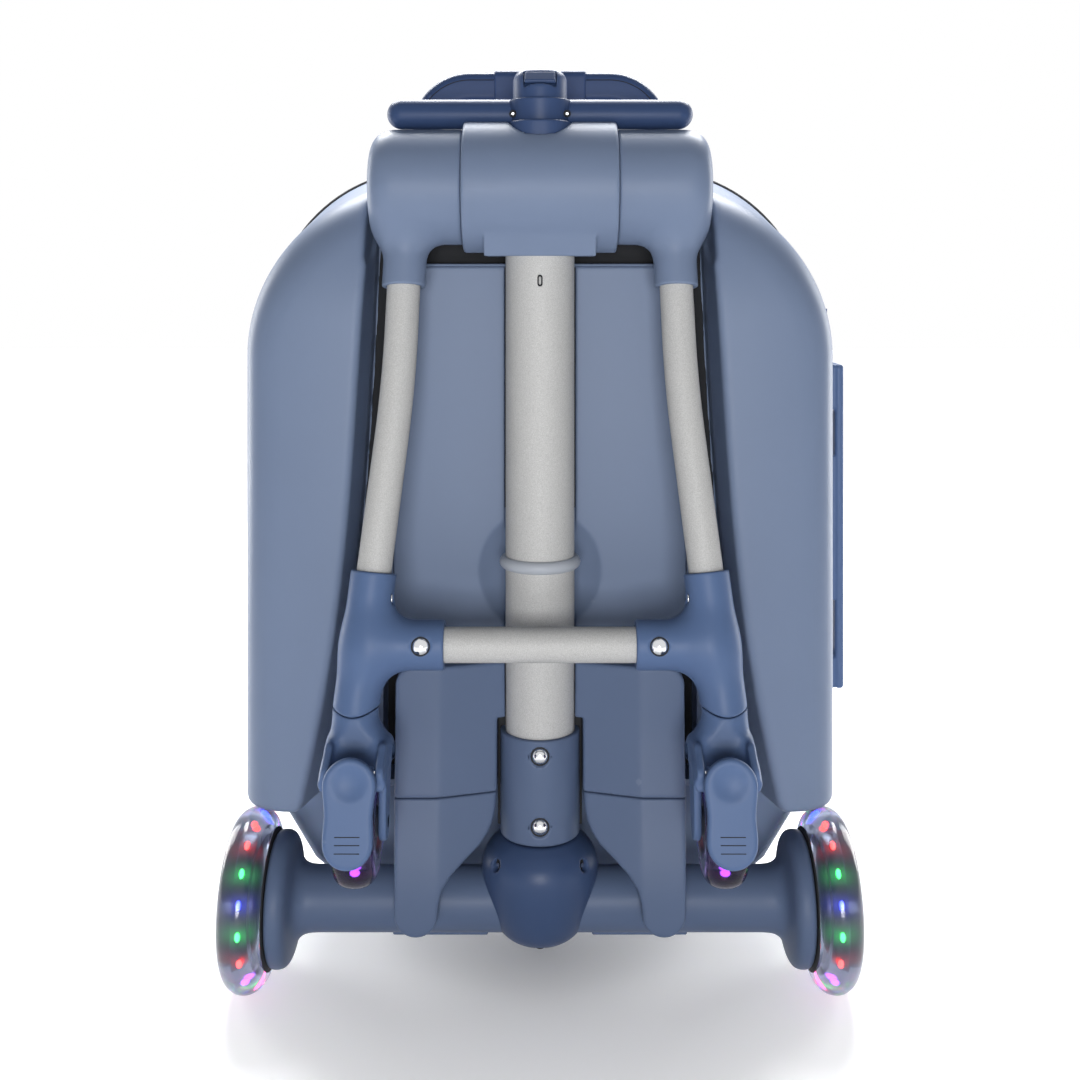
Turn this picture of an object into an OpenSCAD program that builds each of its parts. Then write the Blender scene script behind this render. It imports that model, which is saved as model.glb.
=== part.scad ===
// Ride on suitcase: a hard case on two large front wheels and a folding A-frame with two small wheels.
// Units are millimetres. X is to the right seen from the pull side, Y goes into the case, Z is up.
// Every sub-part is drawn with the middle of the front axle at X = 0 and Y = 0 and the ground at Z = 0;
// row_frame() then moves the whole, so that the origin lies below the middle of its bounding box.

/* [Case] */
// Half width of the case at its near face
case_half_w = 172.6; // [140:0.1:200]
// Half width of the case at the seam
seam_half_w = 176; // [140:0.5:210]
// Height of the case bottom above the ground
case_bottom = 104; // [80:1:130]
// Height of the case top at its near face
case_top_near = 464.5; // [400:0.5:520]
// Height of the case top at the seam
case_top_seam = 480; // [400:0.5:540]
// Radius of the two upper corners of the case
arch_r = 100; // [40:1:140]
// Wall thickness of both shells
wall = 3; // [2:0.1:5]
// Depth position of the near face of the wings
near_y = -15; // [-30:1:0]
// Depth position of the seam between the shells
seam_y = 103; // [60:1:120]
// Depth position of the far face of the lid
far_y = 150; // [120:1:200]
// Depth position of the floor of the recess
recess_y = 25; // [10:1:40]

/* [Barrel and pole] */
// Height of the centre of the hinge barrel
barrel_z = 463; // [400:0.5:500]
// Radius of the hinge barrel
barrel_r = 38; // [25:0.1:50]
// Half length of the hinge barrel
barrel_half = 44.2; // [30:0.1:60]
// Outer radius of the pole
pole_r = 20; // [12:0.1:25]
// Wall of the pole
pole_wall = 2; // [1:0.1:4]
// Outer radius of the socket at the foot of the pole
socket_r = 23; // [15:0.1:30]
// Outer radius of the sliding stem
stem_r = 14; // [8:0.1:18]
// Radius of the grip bar
bar_r = 8.7; // [6:0.1:15]
// Half length of the grip bar
bar_half = 89.3; // [60:0.1:130]

/* [Front axle] */
// Radius of the front wheels
front_r = 50; // [35:0.5:70]
// Inner side of a front wheel
front_in = 155; // [120:0.5:170]
// Outer side of a front wheel
front_out = 179; // [150:0.5:200]
// Radius of the axle beam
beam_r = 18; // [10:0.1:25]

/* [Folding frame] */
// Tilt of the folded frame from upright
tilt = 11.7; // [0:0.1:20]
// Radius of the frame tubes
tube_r = 9.5; // [6:0.1:15]
// Distance from the barrel centre to the crossbar
bar_s = 256.3; // [200:0.1:300]
// Distance from the barrel centre to the small axle
rear_s = 346; // [300:0.5:380]
// Radius of the small wheels
rear_r = 32.5; // [20:0.5:45]
// Sideways position of the small wheels
rear_x = 96; // [70:0.5:120]

/* [Hidden] */
$fn = 64;
eps = 0.01;
run_gap = 0.05;
body_gap = 0.4;
handle_y = 80;
// Section of the carry handle: width of its arms and of its thicker middle, and the height of that middle
handle_arm_w = 22;
handle_grip_w = 25;
handle_grip_h = 22.8;
handle_grip_half = 29;
// Height of the carry handle's top above the top of the seam
handle_rise = 61.9;
// Inset panel: half width, lower and upper end, thickness and the gap around it in the shell
panel_half_w = 88;
panel_low = 190;
panel_high = 417;
panel_t = 4;
panel_gap = 0.3;
// Round dish in that panel
dish_r = 37;
dish_z = 234.2;
dish_depth = 2.2;
// Saddle: half width, lower and upper end, the radius of its upper corners and the top of its notch
saddle_half_w = 82.5;
saddle_low = 116.5;
saddle_high = 188;
saddle_corner_r = 10;
notch_top = 156.6;
// Crease in the saddle and the clamps: its place beside the middle, and how fast the face falls back inside it
crease_x = 57.5;
crease_slope = 0.3;
// Flat grip on the side: depth of its bar, half width, lower and upper end
side_grip_t = 5.5;
side_grip_half = 11;
side_grip_low = 149;
side_grip_high = 355;
elbow_r = 33.4;
// Middle of the whole bounding box, in the frame that the sub-parts are drawn in
centre_x = 3.01;
centre_y = 18.64;
elbow_in = barrel_half + body_gap;
elbow_out = 98.3;
pin_r = 8;
notch_half = 100.2;
lid_y = seam_y + 4;
hinge_x = -(seam_half_w + 7);
hinge_y = seam_y + 2;
hinge_r = 4;
bar_y = 4;
bar_z = 505.8;
led_count = 18;
shell_blue = [0.43, 0.48, 0.58];
deep_blue = [0.33, 0.40, 0.54];
ball_blue = [0.27, 0.33, 0.45];
alu = [0.72, 0.72, 0.71];
chrome = [0.85, 0.86, 0.88];
dark = [0.06, 0.06, 0.08];
smoke = [0.62, 0.66, 0.74, 0.45];

// The axis of a leg, as sideways position and distance down from the barrel centre.
leg_top = [77.5, 20];
leg_bend = [82.7, 128];
leg_end = [99.7, 286];
tee_top_s = 217.5;
tee_end_s = 291;

// The edge of the recess: heights, half widths at the crest and half widths at the floor.
edge_z = [60, 119, 140, 160, 207, 250, 330, 378, 422, 440, 500];
edge_crest = [150, 135, 130, 126, 119, 117, 112, 108, 105, 101, 98];
edge_floor = [126, 118, 115, 113, 108, 106, 103, 100, 98.5, 98, 97];

// Points of an arc in a plane, from one angle to another.
function arc_pts(cx, cz, r, from, to, n) =
    [for (i = [0:n]) let (a = from + (to - from) * i / n) [cx + r * cos(a), cz + r * sin(a)]];

// The arched outline of the case, clockwise seen from the pull side.
function arch(w, bot, top, rt, rb) = concat(
    arc_pts(-w + rb, bot + rb, rb, 270, 180, 4),
    arc_pts(-w + rt, top - rt, rt, 180, 90, 14),
    arc_pts(w - rt, top - rt, rt, 90, 0, 14),
    arc_pts(w - rb, bot + rb, rb, 0, -90, 4));

// A rounded rectangle, anticlockwise seen from above.
function round_box(hw, y0, y1, r) = concat(
    arc_pts(hw - r, y0 + r, r, -90, 0, 5),
    arc_pts(hw - r, y1 - r, r, 0, 90, 5),
    arc_pts(-hw + r, y1 - r, r, 90, 180, 5),
    arc_pts(-hw + r, y0 + r, r, 180, 270, 5));

function at_y(pts, y) = [for (p = pts) [p[0], y, p[1]]];
function at_z(pts, z) = [for (p = pts) [p[0], p[1], z]];

// A closed solid through rings that all have the same number of points.
module loft(rings) {
    n = len(rings[0]);
    m = len(rings);
    pts = [for (r = rings) each r];
    near_cap = [[for (j = [0:n - 1]) j]];
    far_cap = [[for (j = [0:n - 1]) (m - 1) * n + n - 1 - j]];
    sides = [for (i = [0:m - 2]) for (j = [0:n - 1])
        let (k = (j + 1) % n, a = i * n + j, b = i * n + k, c = (i + 1) * n + k, d = (i + 1) * n + j)
        each [[a, d, c], [a, c, b]]];
    polyhedron(points = pts, faces = concat(near_cap, far_cap, sides), convexity = 8);
}

// A closed solid through convex rings, built span by span.
module span_loft(rings) {
    for (i = [0:len(rings) - 2])
        hull()
            loft([rings[i], rings[i + 1]]);
}

function near_w(y) = case_half_w + (y - 12) * (seam_half_w - case_half_w) / (seam_y - 12);
function near_top(y) = case_top_near + (y - 12) * (case_top_seam - case_top_near) / (seam_y - 12);
near_rings = [[near_y, 23], [near_y + 1.5, 15], [near_y + 5, 9], [-4, 4], [4, 1], [14, 0], [seam_y, 0]];
lid_rings = [[lid_y, 0], [128, 1], [140, 4.5], [147, 11], [far_y, 20]];

function case_ring(y, d, t) =
    at_y(arch(near_w(y) - d - t, case_bottom + 0.45 * d + t, near_top(y) - d - t,
              arch_r - d - t, 10 - t), y);
function lid_ring(y, d, t) =
    at_y(arch(seam_half_w - d - t, case_bottom + 0.45 * d + t, case_top_seam - d - t,
              arch_r - d - t, 10 - t), y);

// The recess between the wings, grown sideways and in depth by g.
function edge_ring(y, mix, extra) = at_y(concat(
    [for (i = [0:len(edge_z) - 1]) [-(edge_floor[i] * mix + edge_crest[i] * (1 - mix) + extra), edge_z[i]]],
    [for (i = [len(edge_z) - 1:-1:0]) [edge_floor[i] * mix + edge_crest[i] * (1 - mix) + extra, edge_z[i]]]),
    y);

module recess_cut(g) {
    loft([
        edge_ring(near_y - 6, 0, 9 + g),
        edge_ring(near_y - eps, 0, 6 + g),
        edge_ring(near_y + 2, 0, 2.5 + g),
        edge_ring(near_y + 6, 0.1, 0.6 + g),
        edge_ring(recess_y - 5 + g, 0.9, g),
        edge_ring(recess_y + g, 1, g - 4)
    ]);
}

// The trough behind the barrel and the elbows, open at the top.
module trough_cut(g) {
    r = barrel_r + 3.5 + g;
    rotate([90, 0, 90])
        translate([0, barrel_z, -notch_half - g])
            linear_extrude(2 * (notch_half + g))
                polygon(concat([[r, 60], [-60, 60], [-60, 0]], arc_pts(0, 0, r, 180, 360, 40)));
}

module case_inner() {
    difference() {
        span_loft([for (q = near_rings)
            case_ring(q[0] == near_y ? near_y + wall : (q[0] == seam_y ? seam_y + 1 : q[0] + 0.5), q[1], wall)]);
        recess_cut(4 + wall);
        trough_cut(wall);
    }
}

// Near half of the case with the two wings and the recess between them
module back_shell() {
    color(shell_blue)
        difference() {
            span_loft([for (q = near_rings) case_ring(q[0], q[1], 0)]);
            recess_cut(0);
            trough_cut(0);
            case_inner();
            translate([-panel_half_w - panel_gap, recess_y - 1, panel_low - panel_gap])
                cube([2 * (panel_half_w + panel_gap), panel_t + 1, panel_high - panel_low + 2 * panel_gap]);
        }
}

// Inset panel behind the pole, with a round dish around the pole ring
module recess_panel() {
    color(shell_blue)
        difference() {
            translate([-panel_half_w, recess_y, panel_low])
                cube([2 * panel_half_w, panel_t, panel_high - panel_low]);
            translate([0, recess_y - 1, dish_z])
                rotate([-90, 0, 0])
                    cylinder(r = dish_r, h = dish_depth + 1, $fn = 96);
        }
}

// Front line of the saddle and the clamps, seen from the side
side_line = [[-14, saddle_high], [-17, saddle_high - 38], [-21.95, saddle_low], [-22, saddle_low - 15]];
clamp_line = [[-21.95, saddle_low], [-27, 92], [-31, 74], [-32, 60], [-32, 30]];

// What the faces fall back by inside the two creases, as one prism on each side
module crease_cut() {
    line = [[-32, 20], [-32, 60], [-31, 74], [-27, 92], [-21.95, saddle_low], [-17, saddle_high - 38],
        [-14, saddle_high], [-13.2, saddle_high + 10]];
    fall = crease_slope * crease_x;
    for (s = [0, 1])
        mirror([s, 0, 0])
            loft([for (p = line)
                at_z([[crease_x, p[0]], [-1, p[0] + fall + crease_slope], [-1, -60], [crease_x, -60]], p[1])]);
}

module side_slab(half) {
    rotate([90, 0, 90])
        translate([0, 0, -half])
            linear_extrude(2 * half)
                polygon(concat(side_line, [[recess_y, saddle_low - 15], [recess_y, saddle_high]]));
}

// Raised panel in front of the recess floor that the pole stands in
module axle_saddle() {
    color(shell_blue)
        difference() {
            intersection() {
                side_slab(saddle_half_w);
                translate([-saddle_half_w, -40, saddle_low])
                    cube([2 * saddle_half_w, 100, saddle_high - saddle_low]);
                union() {
                    translate([-saddle_half_w, -40, saddle_low - 15])
                        cube([2 * saddle_half_w, 100, saddle_high - saddle_low + 15 - saddle_corner_r]);
                    translate([-saddle_half_w + saddle_corner_r, -40, saddle_low - 15])
                        cube([2 * (saddle_half_w - saddle_corner_r), 100, saddle_high - saddle_low + 25.5]);
                    for (s = [-1, 1])
                        translate([s * (saddle_half_w - saddle_corner_r), 60, saddle_high - saddle_corner_r])
                            rotate([90, 0, 0])
                                cylinder(r = saddle_corner_r, h = 100);
                }
            }
            translate([0, 0, 90])
                cylinder(r = pole_r + 0.6, h = 120);
            translate([0, 0, 90])
                cylinder(r = socket_r, h = notch_top - 90);
            translate([-socket_r - 1.7, -60, 90])
                cube([2 * (socket_r + 1.7), 66, notch_top - 90]);
            crease_cut();
            for (s = [-1, 1])
                translate([s * 54 - 26, -9, 121])
                    cube([52, 40, 60]);
        }
}

clamp_inner = [[25.3, 108.1], [29.2, 95.8], [33.7, 89.6], [42.2, 82.3], [49.5, 75.5],
    [54.5, 68.2], [56.2, 58.7], [57.4, 48], [58.6, 44]];

// Outline of one clamp, seen from the pull side
module clamp_outline() {
    polygon(concat(
        [[socket_r + 1.7, saddle_low]],
        clamp_inner,
        arc_pts(61.5, 44.5, 3, 200, 270, 4),
        arc_pts(73, 50, 8.5, 270, 360, 8),
        [[saddle_half_w - 0.5, 90], [saddle_half_w, saddle_low]]));
}

// Section of a clamp, seen from the side
clamp_side = concat(clamp_line, [[-25.6, 30], [-25.6, 72], [-16, 84], [-6, 98], [-6, saddle_low]]);

module clamp() {
    difference() {
        intersection() {
            rotate([90, 0, 90])
                linear_extrude(100)
                    polygon(clamp_side);
            translate([0, 40, 0])
                rotate([90, 0, 0])
                    linear_extrude(90)
                        clamp_outline();
        }
        crease_cut();
    }
}

// Foot plate in front of the axle beam, left
module clamp_left() {
    color(shell_blue)
        mirror([1, 0, 0])
            clamp();
}

// Foot plate in front of the axle beam, right
module clamp_right() {
    color(shell_blue)
        clamp();
}

// Tapered stand below the case, behind the axle
module base_skirt() {
    color(shell_blue)
        difference() {
            loft([
                at_z(round_box(112, 72, 112, 8), 14),
                at_z(round_box(122, 69, 112, 9), 22),
                at_z(round_box(143, 64, 111, 10), 43),
                at_z(round_box(160, 60, 109, 10), 74),
                at_z(round_box(163, 58, 103, 10), 96),
                at_z(round_box(163, 57, 102, 10), case_bottom)
            ]);
            loft([
                at_z(round_box(118, 72, 109, 7), 24),
                at_z(round_box(140, 67, 108, 8), 45),
                at_z(round_box(157, 63, 106, 8), 75),
                at_z(round_box(159, 61, 99, 8), case_bottom + 1)
            ]);
        }
}

// Two rubber feet that stand on the ground
module rubber_feet() {
    color(dark)
        for (s = [-1, 1])
            translate([s * 88, 92, 0]) {
                cylinder(r = 15, h = 14);
            }
}

// Dark seal between the two shells
module seam_gasket() {
    color(dark)
        difference() {
            loft([
                at_y(arch(seam_half_w + 0.6, case_bottom - 0.6, case_top_seam + 0.6, arch_r + 0.6, 10), seam_y),
                at_y(arch(seam_half_w + 1.8, case_bottom - 1.5, case_top_seam + 1.8, arch_r + 1.8, 11),
                     seam_y + 1),
                at_y(arch(seam_half_w + 1.8, case_bottom - 1.5, case_top_seam + 1.8, arch_r + 1.8, 11),
                     seam_y + 2.6),
                at_y(arch(seam_half_w + 0.6, case_bottom - 0.6, case_top_seam + 0.6, arch_r + 0.6, 10),
                     seam_y + 3.6)
            ]);
            loft([
                at_y(arch(seam_half_w - wall, case_bottom + wall, case_top_seam - wall, arch_r - wall, 7),
                     seam_y - 1),
                at_y(arch(seam_half_w - wall, case_bottom + wall, case_top_seam - wall, arch_r - wall, 7),
                     seam_y + 5)
            ]);
        }
}

hinge_mid_z = [180, 330];
knuckle_h = 14;

module hinge_leaf(z) {
    for (k = [-1, 1]) {
        translate([hinge_x, hinge_y, z + k * (knuckle_h + 0.4) - knuckle_h / 2])
            cylinder(r = hinge_r, h = knuckle_h);
        translate([hinge_x - 1.2, hinge_y - 22, z + k * (knuckle_h + 0.4) - knuckle_h / 2])
            cube([2.4, 22, knuckle_h]);
    }
    translate([hinge_x, hinge_y, z - knuckle_h])
        cylinder(r = 1.5, h = 2 * knuckle_h, $fn = 24);
    translate([hinge_x - 1.2, hinge_y - 26, z - 1.5 * knuckle_h - 0.4])
        cube([12, 14, 3 * knuckle_h + 0.8]);
}

// Fixed halves of the two lid hinges, with their pins
module lid_hinge_leaves() {
    color(dark)
        difference() {
            for (z = hinge_mid_z)
                hinge_leaf(z);
            loft([for (q = near_rings) case_ring(q[0], q[1], 0)]);
        }
}

// Moving halves of the two lid hinges
module lid_hinge_knuckles() {
    color(dark)
        for (z = hinge_mid_z)
            difference() {
                union() {
                    translate([hinge_x, hinge_y, z - knuckle_h / 2])
                        cylinder(r = hinge_r, h = knuckle_h);
                    translate([hinge_x - 1.2, hinge_y, z - knuckle_h / 2])
                        cube([2.4, 22, knuckle_h]);
                    translate([hinge_x - 1.2, hinge_y + 8, z - 18])
                        cube([12, 14, 36]);
                }
                loft([for (q = lid_rings) lid_ring(q[0], q[1], 0)]);
                translate([hinge_x, hinge_y, z - knuckle_h])
                    cylinder(r = 1.55, h = 2 * knuckle_h, $fn = 24);
            }
}

// The side of the case where the latches and the side grip sit
side_out = max(near_w(handle_y), seam_half_w);
latch_z = [126, 378];
latch_x = side_out + 6.5;
latch_y = 88;

// Fixed pads that the two latch levers turn on
module latch_bases() {
    color(deep_blue)
        difference() {
            for (z = latch_z) {
                translate([side_out - 12, latch_y - 8, z - 12])
                    cube([14, 16, 24]);
                for (k = [-1, 1])
                    translate([side_out - 10, latch_y - 4, z + k * 10.2 - 1.8])
                        cube([latch_x + 3 - (side_out - 10), 8, 3.6]);
                translate([latch_x, latch_y, z - 11])
                    cylinder(r = 1.5, h = 22, $fn = 24);
            }
            loft([for (q = near_rings) case_ring(q[0], q[1], 0)]);
        }
}

module latch_lever(z) {
    difference() {
        union() {
            translate([latch_x, latch_y, z - 8])
                cylinder(r = 3.4, h = 16);
            translate([latch_x - 2.4, latch_y, z - 8])
                cube([4.4, 10, 16]);
            translate([latch_x - 3.2, latch_y + 6.5, z - 11.5])
                cube([5.4, 27, 23]);
        }
        translate([latch_x, latch_y, z - 9])
            cylinder(r = 1.55, h = 18, $fn = 24);
    }
}

// Upper latch lever over the seam
module latch_lever_upper() {
    color(deep_blue)
        latch_lever(latch_z[1]);
}

// Lower latch lever over the seam
module latch_lever_lower() {
    color(deep_blue)
        latch_lever(latch_z[0]);
}

// Outline of the carry handle, seen from the pull side
module handle_outline() {
    top = case_top_seam + handle_rise - 64.3;
    foot = min(case_top_near, case_top_seam) - 14;
    difference() {
        polygon(concat(
            [[-84, foot], [-84, top - 14], [-82, top + 20]],
            arc_pts(-44.5, top + 26.3, 37, 168, 90, 10),
            arc_pts(44.5, top + 26.3, 37, 90, 12, 10),
            [[82, top + 20], [84, top - 14], [84, foot]]));
        polygon(concat(
            [[-66, foot - 1], [-66, top - 15], [-64, top + 20]],
            arc_pts(-44.5, top + 24, 19, 172, 90, 8),
            arc_pts(44.5, top + 24, 19, 90, 8, 8),
            [[64, top + 20], [66, top - 15], [66, foot - 1]]));
    }
}

// Carry handle loop on top of the case
module handle_arms() {
    color(deep_blue)
        difference() {
            translate([0, handle_y + handle_arm_w / 2, 0])
                rotate([90, 0, 0])
                    linear_extrude(handle_arm_w)
                        handle_outline();
            loft([for (q = near_rings) case_ring(q[0], q[1], 0)]);
        }
}

// Thicker middle of the carry handle
module handle_grip() {
    color(deep_blue)
        difference() {
            translate([-handle_grip_half, handle_y - handle_grip_w / 2, case_top_seam + handle_rise - handle_grip_h])
                cube([2 * handle_grip_half, handle_grip_w, handle_grip_h]);
            translate([-handle_grip_half - 1, handle_y - handle_arm_w / 2, case_top_seam + handle_rise - handle_grip_h + 1.5])
                cube([2 * (handle_grip_half + 1), handle_arm_w, 20.3]);
        }
}

// Flat grip on the right side of the case
module side_handle() {
    color(deep_blue)
        difference() {
            union() {
                translate([side_out + 11.5, handle_y - side_grip_half, side_grip_low])
                    cube([side_grip_t, 2 * side_grip_half, side_grip_high - side_grip_low]);
                translate([side_out + 7.5, handle_y - side_grip_half + 1, side_grip_low + 56])
                    cube([4.5, 2 * side_grip_half - 2, 92]);
                translate([side_out - 14, handle_y - side_grip_half + 1, side_grip_low])
                    cube([26, 2 * side_grip_half - 2, 20]);
                translate([side_out - 14, handle_y - side_grip_half + 1, side_grip_high - 29])
                    cube([26, 2 * side_grip_half - 2, 29]);
            }
            loft([for (q = near_rings) case_ring(q[0], q[1], 0)]);
        }
}

// Housing at the top that carries the folding frame
module barrel() {
    color(shell_blue)
        difference() {
            union() {
                translate([0, 0, barrel_z])
                    rotate([0, 90, 0])
                        rotate_extrude($fn = 96)
                            polygon(concat(
                                [[0, -barrel_half]],
                                arc_pts(barrel_r - 1.5, -barrel_half + 1.5, 1.5, -90, 0, 3),
                                arc_pts(barrel_r - 1.5, barrel_half - 1.5, 1.5, 0, 90, 3),
                                [[0, barrel_half]]));
                translate([-31.8, -pole_r - 0.6, barrel_z - barrel_r - 2])
                    cube([63.6, 2 * (pole_r + 0.6), 10]);
            }
            translate([0, 0, 400])
                cylinder(r = pole_r, h = 55);
            translate([0, 0, 440])
                cylinder(r = stem_r + 1, h = 80);
            translate([0, 0, 480])
                linear_extrude(40)
                    polygon([for (a = [0:7.5:352.5]) [18.3 * cos(a), 26.5 * sin(a)]]);
            translate([-60, bar_y, bar_z])
                rotate([0, 90, 0])
                    cylinder(r = bar_r + 0.6, h = 120);
            for (s = [-1, 1])
                translate([s * 34, 0, barrel_z])
                    rotate([0, 90, 0])
                        cylinder(r = pin_r, h = 20.6, center = true);
        }
}

// Two steel pins that the elbows turn on
module hinge_pins() {
    color(chrome)
        for (s = [-1, 1])
            translate([s * 57, 0, barrel_z])
                rotate([0, 90, 0])
                    cylinder(r = pin_r, h = 66, center = true);
}

// Block that ties the barrel to the case
module barrel_bracket() {
    color(shell_blue)
        difference() {
            intersection() {
                translate([-40, 30, barrel_z - 21])
                    cube([80, barrel_r - 24.8, 34]);
                trough_cut(0);
            }
            translate([0, 0, barrel_z])
                rotate([0, 90, 0])
                    cylinder(r = barrel_r, h = 100, center = true, $fn = 96);
        }
}

// Plug in the top of the barrel that guides the stem
module stem_bush() {
    color(deep_blue)
        difference() {
            translate([0, 0, 480])
                linear_extrude(20)
                    polygon([for (a = [0:7.5:352.5]) [18.3 * cos(a), 26.5 * sin(a)]]);
            translate([0, 0, 470])
                cylinder(r = stem_r + run_gap, h = 40);
            translate([-60, bar_y, bar_z])
                rotate([0, 90, 0])
                    cylinder(r = bar_r + 0.6, h = 120);
        }
}

// Main pole
module pole_tube() {
    color(alu)
        difference() {
            translate([0, 0, 92])
                cylinder(r = pole_r, h = 363);
            translate([0, 0, 91])
                cylinder(r = pole_r - pole_wall, h = 365);
            translate([-1.15, -30, 405.6])
                cube([2.3, 20, 6.8]);
        }
}

// Ring on the pole
module pole_ring() {
    color([0.66, 0.68, 0.72])
        translate([0, 0, 246])
            rotate_extrude()
                difference() {
                    translate([pole_r - 0.3, 0])
                        circle(r = 3.7, $fn = 32);
                    translate([-10, -10])
                        square([10 + pole_r, 20]);
                }
}

// Sleeve at the foot of the pole
module pole_socket() {
    color(deep_blue)
        difference() {
            union() {
                translate([0, 0, 89.5])
                    cylinder(r = socket_r, h = 59.5);
                translate([0, 0, 71])
                    cylinder(r = 9, h = 20);
            }
            translate([0, 0, 92])
                cylinder(r = pole_r, h = 60);
            for (z = [100.2, 140.2])
                translate([0, -21.4, z])
                    rotate([90, 0, 0])
                        cylinder(r = 5.6, h = 5, $fn = 32);
        }
}

module rivet(r) {
    dome_r = sqrt(r * r + 2.6 * 2.6);
    rotate_extrude($fn = 32)
        polygon(concat([[0, -0.6], [r, -0.6]], arc_pts(0, -2.6, dome_r, atan2(2.6, r), 90, 6)));
}

// Two domed rivets on the sleeve
module socket_rivets() {
    color(chrome)
        for (z = [100.2, 140.2])
            translate([0, -22, z])
                rotate([90, 0, 0])
                    rivet(4.9);
}

ball_line = [[0, 26], [8, 26.4], [14, 27.9], [19, 30.7], [23, 35], [25.4, 41], [27.4, 48], [29.6, 57],
    [31.6, 65], [33.2, 71.5], [33.8, 76], [33.3, 79.5], [31.6, 82.4], [28.4, 85.4], [24.2, 88.4], [0, 88.4]];

// Round housing that turns under the pole and holds the axle beam
module steer_housing() {
    color(ball_blue)
        difference() {
            rotate_extrude($fn = 72)
                polygon(ball_line);
            translate([-50, 0, 50])
                rotate([0, 90, 0])
                    cylinder(r = beam_r, h = 100);
            translate([0, 0, 70.5])
                cylinder(r = 9 + run_gap, h = 30);
            for (s = [-1, 1])
                rotate([0, 0, s * 51.8])
                    translate([0, -30.6, 77])
                        rotate([90, 0, 0])
                            cylinder(r = 2.4, h = 10, $fn = 24);
            translate([0, -13, 30])
                rotate([143, 0, 0])
                    cylinder(r = 2.4, h = 10, $fn = 24);
        }
}

// Screw heads sunk in the housing
module housing_screws() {
    color(chrome)
        for (s = [-1, 1])
            rotate([0, 0, s * 51.8])
                translate([0, -30.6, 77])
                    rotate([90, 0, 0])
                        cylinder(r = 2, h = 1.2, $fn = 24);
}

// Section of one half of the beam: radius and place along the axle
beam_line = [[0, front_in - 0.7], [33, front_in - 0.7], [36, front_in - 1.6], [37, front_in - 3.5],
    [37, front_in - 7], [36, front_in - 10], [33, front_in - 12.2], [28, front_in - 13.5],
    [23, front_in - 15], [beam_r + 2, front_in - 17.5], [beam_r + 0.5, front_in - 21], [beam_r, front_in - 26]];

// Beam between the front wheels, with a flared disc at each end
module axle_beam() {
    color(shell_blue)
        difference() {
            union() {
                translate([0, 0, front_r])
                    rotate([0, 90, 0])
                        rotate_extrude($fn = 72)
                            polygon(concat(beam_line,
                                [for (i = [len(beam_line) - 1:-1:0]) [beam_line[i][0], -beam_line[i][1]]]));
                for (s = [-1, 1])
                    translate([s * 57.5 - 27.5, -5, front_r - beam_r - 2])
                        cube([55, 10, 6]);
            }
            translate([0, 0, front_r])
                rotate([0, 90, 0])
                    cylinder(r = 4, h = 400, center = true, $fn = 32);
        }
}

// Steel rod through the beam that the front wheels turn on
module axle_rod() {
    color(chrome)
        translate([0, 0, front_r])
            rotate([0, 90, 0])
                cylinder(r = 4, h = 2 * (front_out - 5), center = true, $fn = 32);
}

front_mid = (front_in + front_out) / 2;
tyre_half = (front_out - front_in) / 2;
// Radius of the hub, which the tyre sits on
rim_r = front_r - 15;
// Section of the tyre, with a groove for the lights
tyre_line = concat(
    [[rim_r, front_in + 0.8]],
    arc_pts(front_r - tyre_half, front_mid, tyre_half, -90, 90, 12),
    [[rim_r, front_out - 0.8], [rim_r, front_mid + 3.4], [rim_r + 9.2, front_mid + 3.4],
        [rim_r + 9.2, front_mid - 3.4], [rim_r, front_mid - 3.4]]);

module front_tyre() {
    translate([0, 0, front_r])
        rotate([0, 90, 0])
            rotate_extrude($fn = 80)
                polygon(tyre_line);
}

// Clear tyre, left
module front_tyre_left() {
    color(smoke)
        mirror([1, 0, 0])
            front_tyre();
}

// Clear tyre, right
module front_tyre_right() {
    color(smoke)
        front_tyre();
}

hub_line = [[4.05, front_in + 0.4], [11, front_in + 0.4], [12.5, front_in + 4], [rim_r - 6, front_in + 5],
    [rim_r - 2, front_in + 1.4], [rim_r, front_in + 0.8], [rim_r, front_out - 0.8], [rim_r - 3, front_out - 1],
    [rim_r - 8, front_out - 5], [14, front_out - 5], [12, front_out - 1.4], [8, front_out - 0.4],
    [0, front_out - 0.2], [0, front_out - 4], [4.05, front_out - 4]];

module front_hub() {
    translate([0, 0, front_r])
        rotate([0, 90, 0])
            rotate_extrude($fn = 64)
                polygon(hub_line);
}

// Wheel centre, left
module front_hub_left() {
    color(chrome)
        mirror([1, 0, 0])
            front_hub();
}

// Wheel centre, right
module front_hub_right() {
    color(chrome)
        front_hub();
}

module front_leds() {
    translate([0, 0, front_r])
        rotate([0, 90, 0])
            union() {
                rotate_extrude($fn = 64)
                    translate([rim_r, front_mid - 3])
                        square([2.6, 6]);
                for (i = [0:led_count - 1])
                    rotate([0, 0, i * 360 / led_count + 4])
                        translate([rim_r + 3.8, 0, front_mid])
                            sphere(r = 2.6, $fn = 16);
            }
}

// Ring of lights inside the tyre, left
module front_leds_left() {
    color([0.8, 0.3, 0.9])
        mirror([1, 0, 0])
            front_leds();
}

// Ring of lights inside the tyre, right
module front_leds_right() {
    color([0.8, 0.3, 0.9])
        front_leds();
}

// Sliding stem of the handlebar
module stem_tube() {
    color(alu)
        difference() {
            union() {
                translate([0, 0, 140])
                    cylinder(r = stem_r, h = 360.4);
                translate([0, 0, 140])
                    cylinder(r = pole_r - pole_wall - 0.08, h = 16);
            }
            translate([0, 0, 139])
                cylinder(r = stem_r - 1.6, h = 364);
            translate([0, bar_y, bar_z])
                rotate([0, 90, 0])
                    cylinder(r = bar_r, h = 4 * stem_r, center = true);
        }
}

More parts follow.
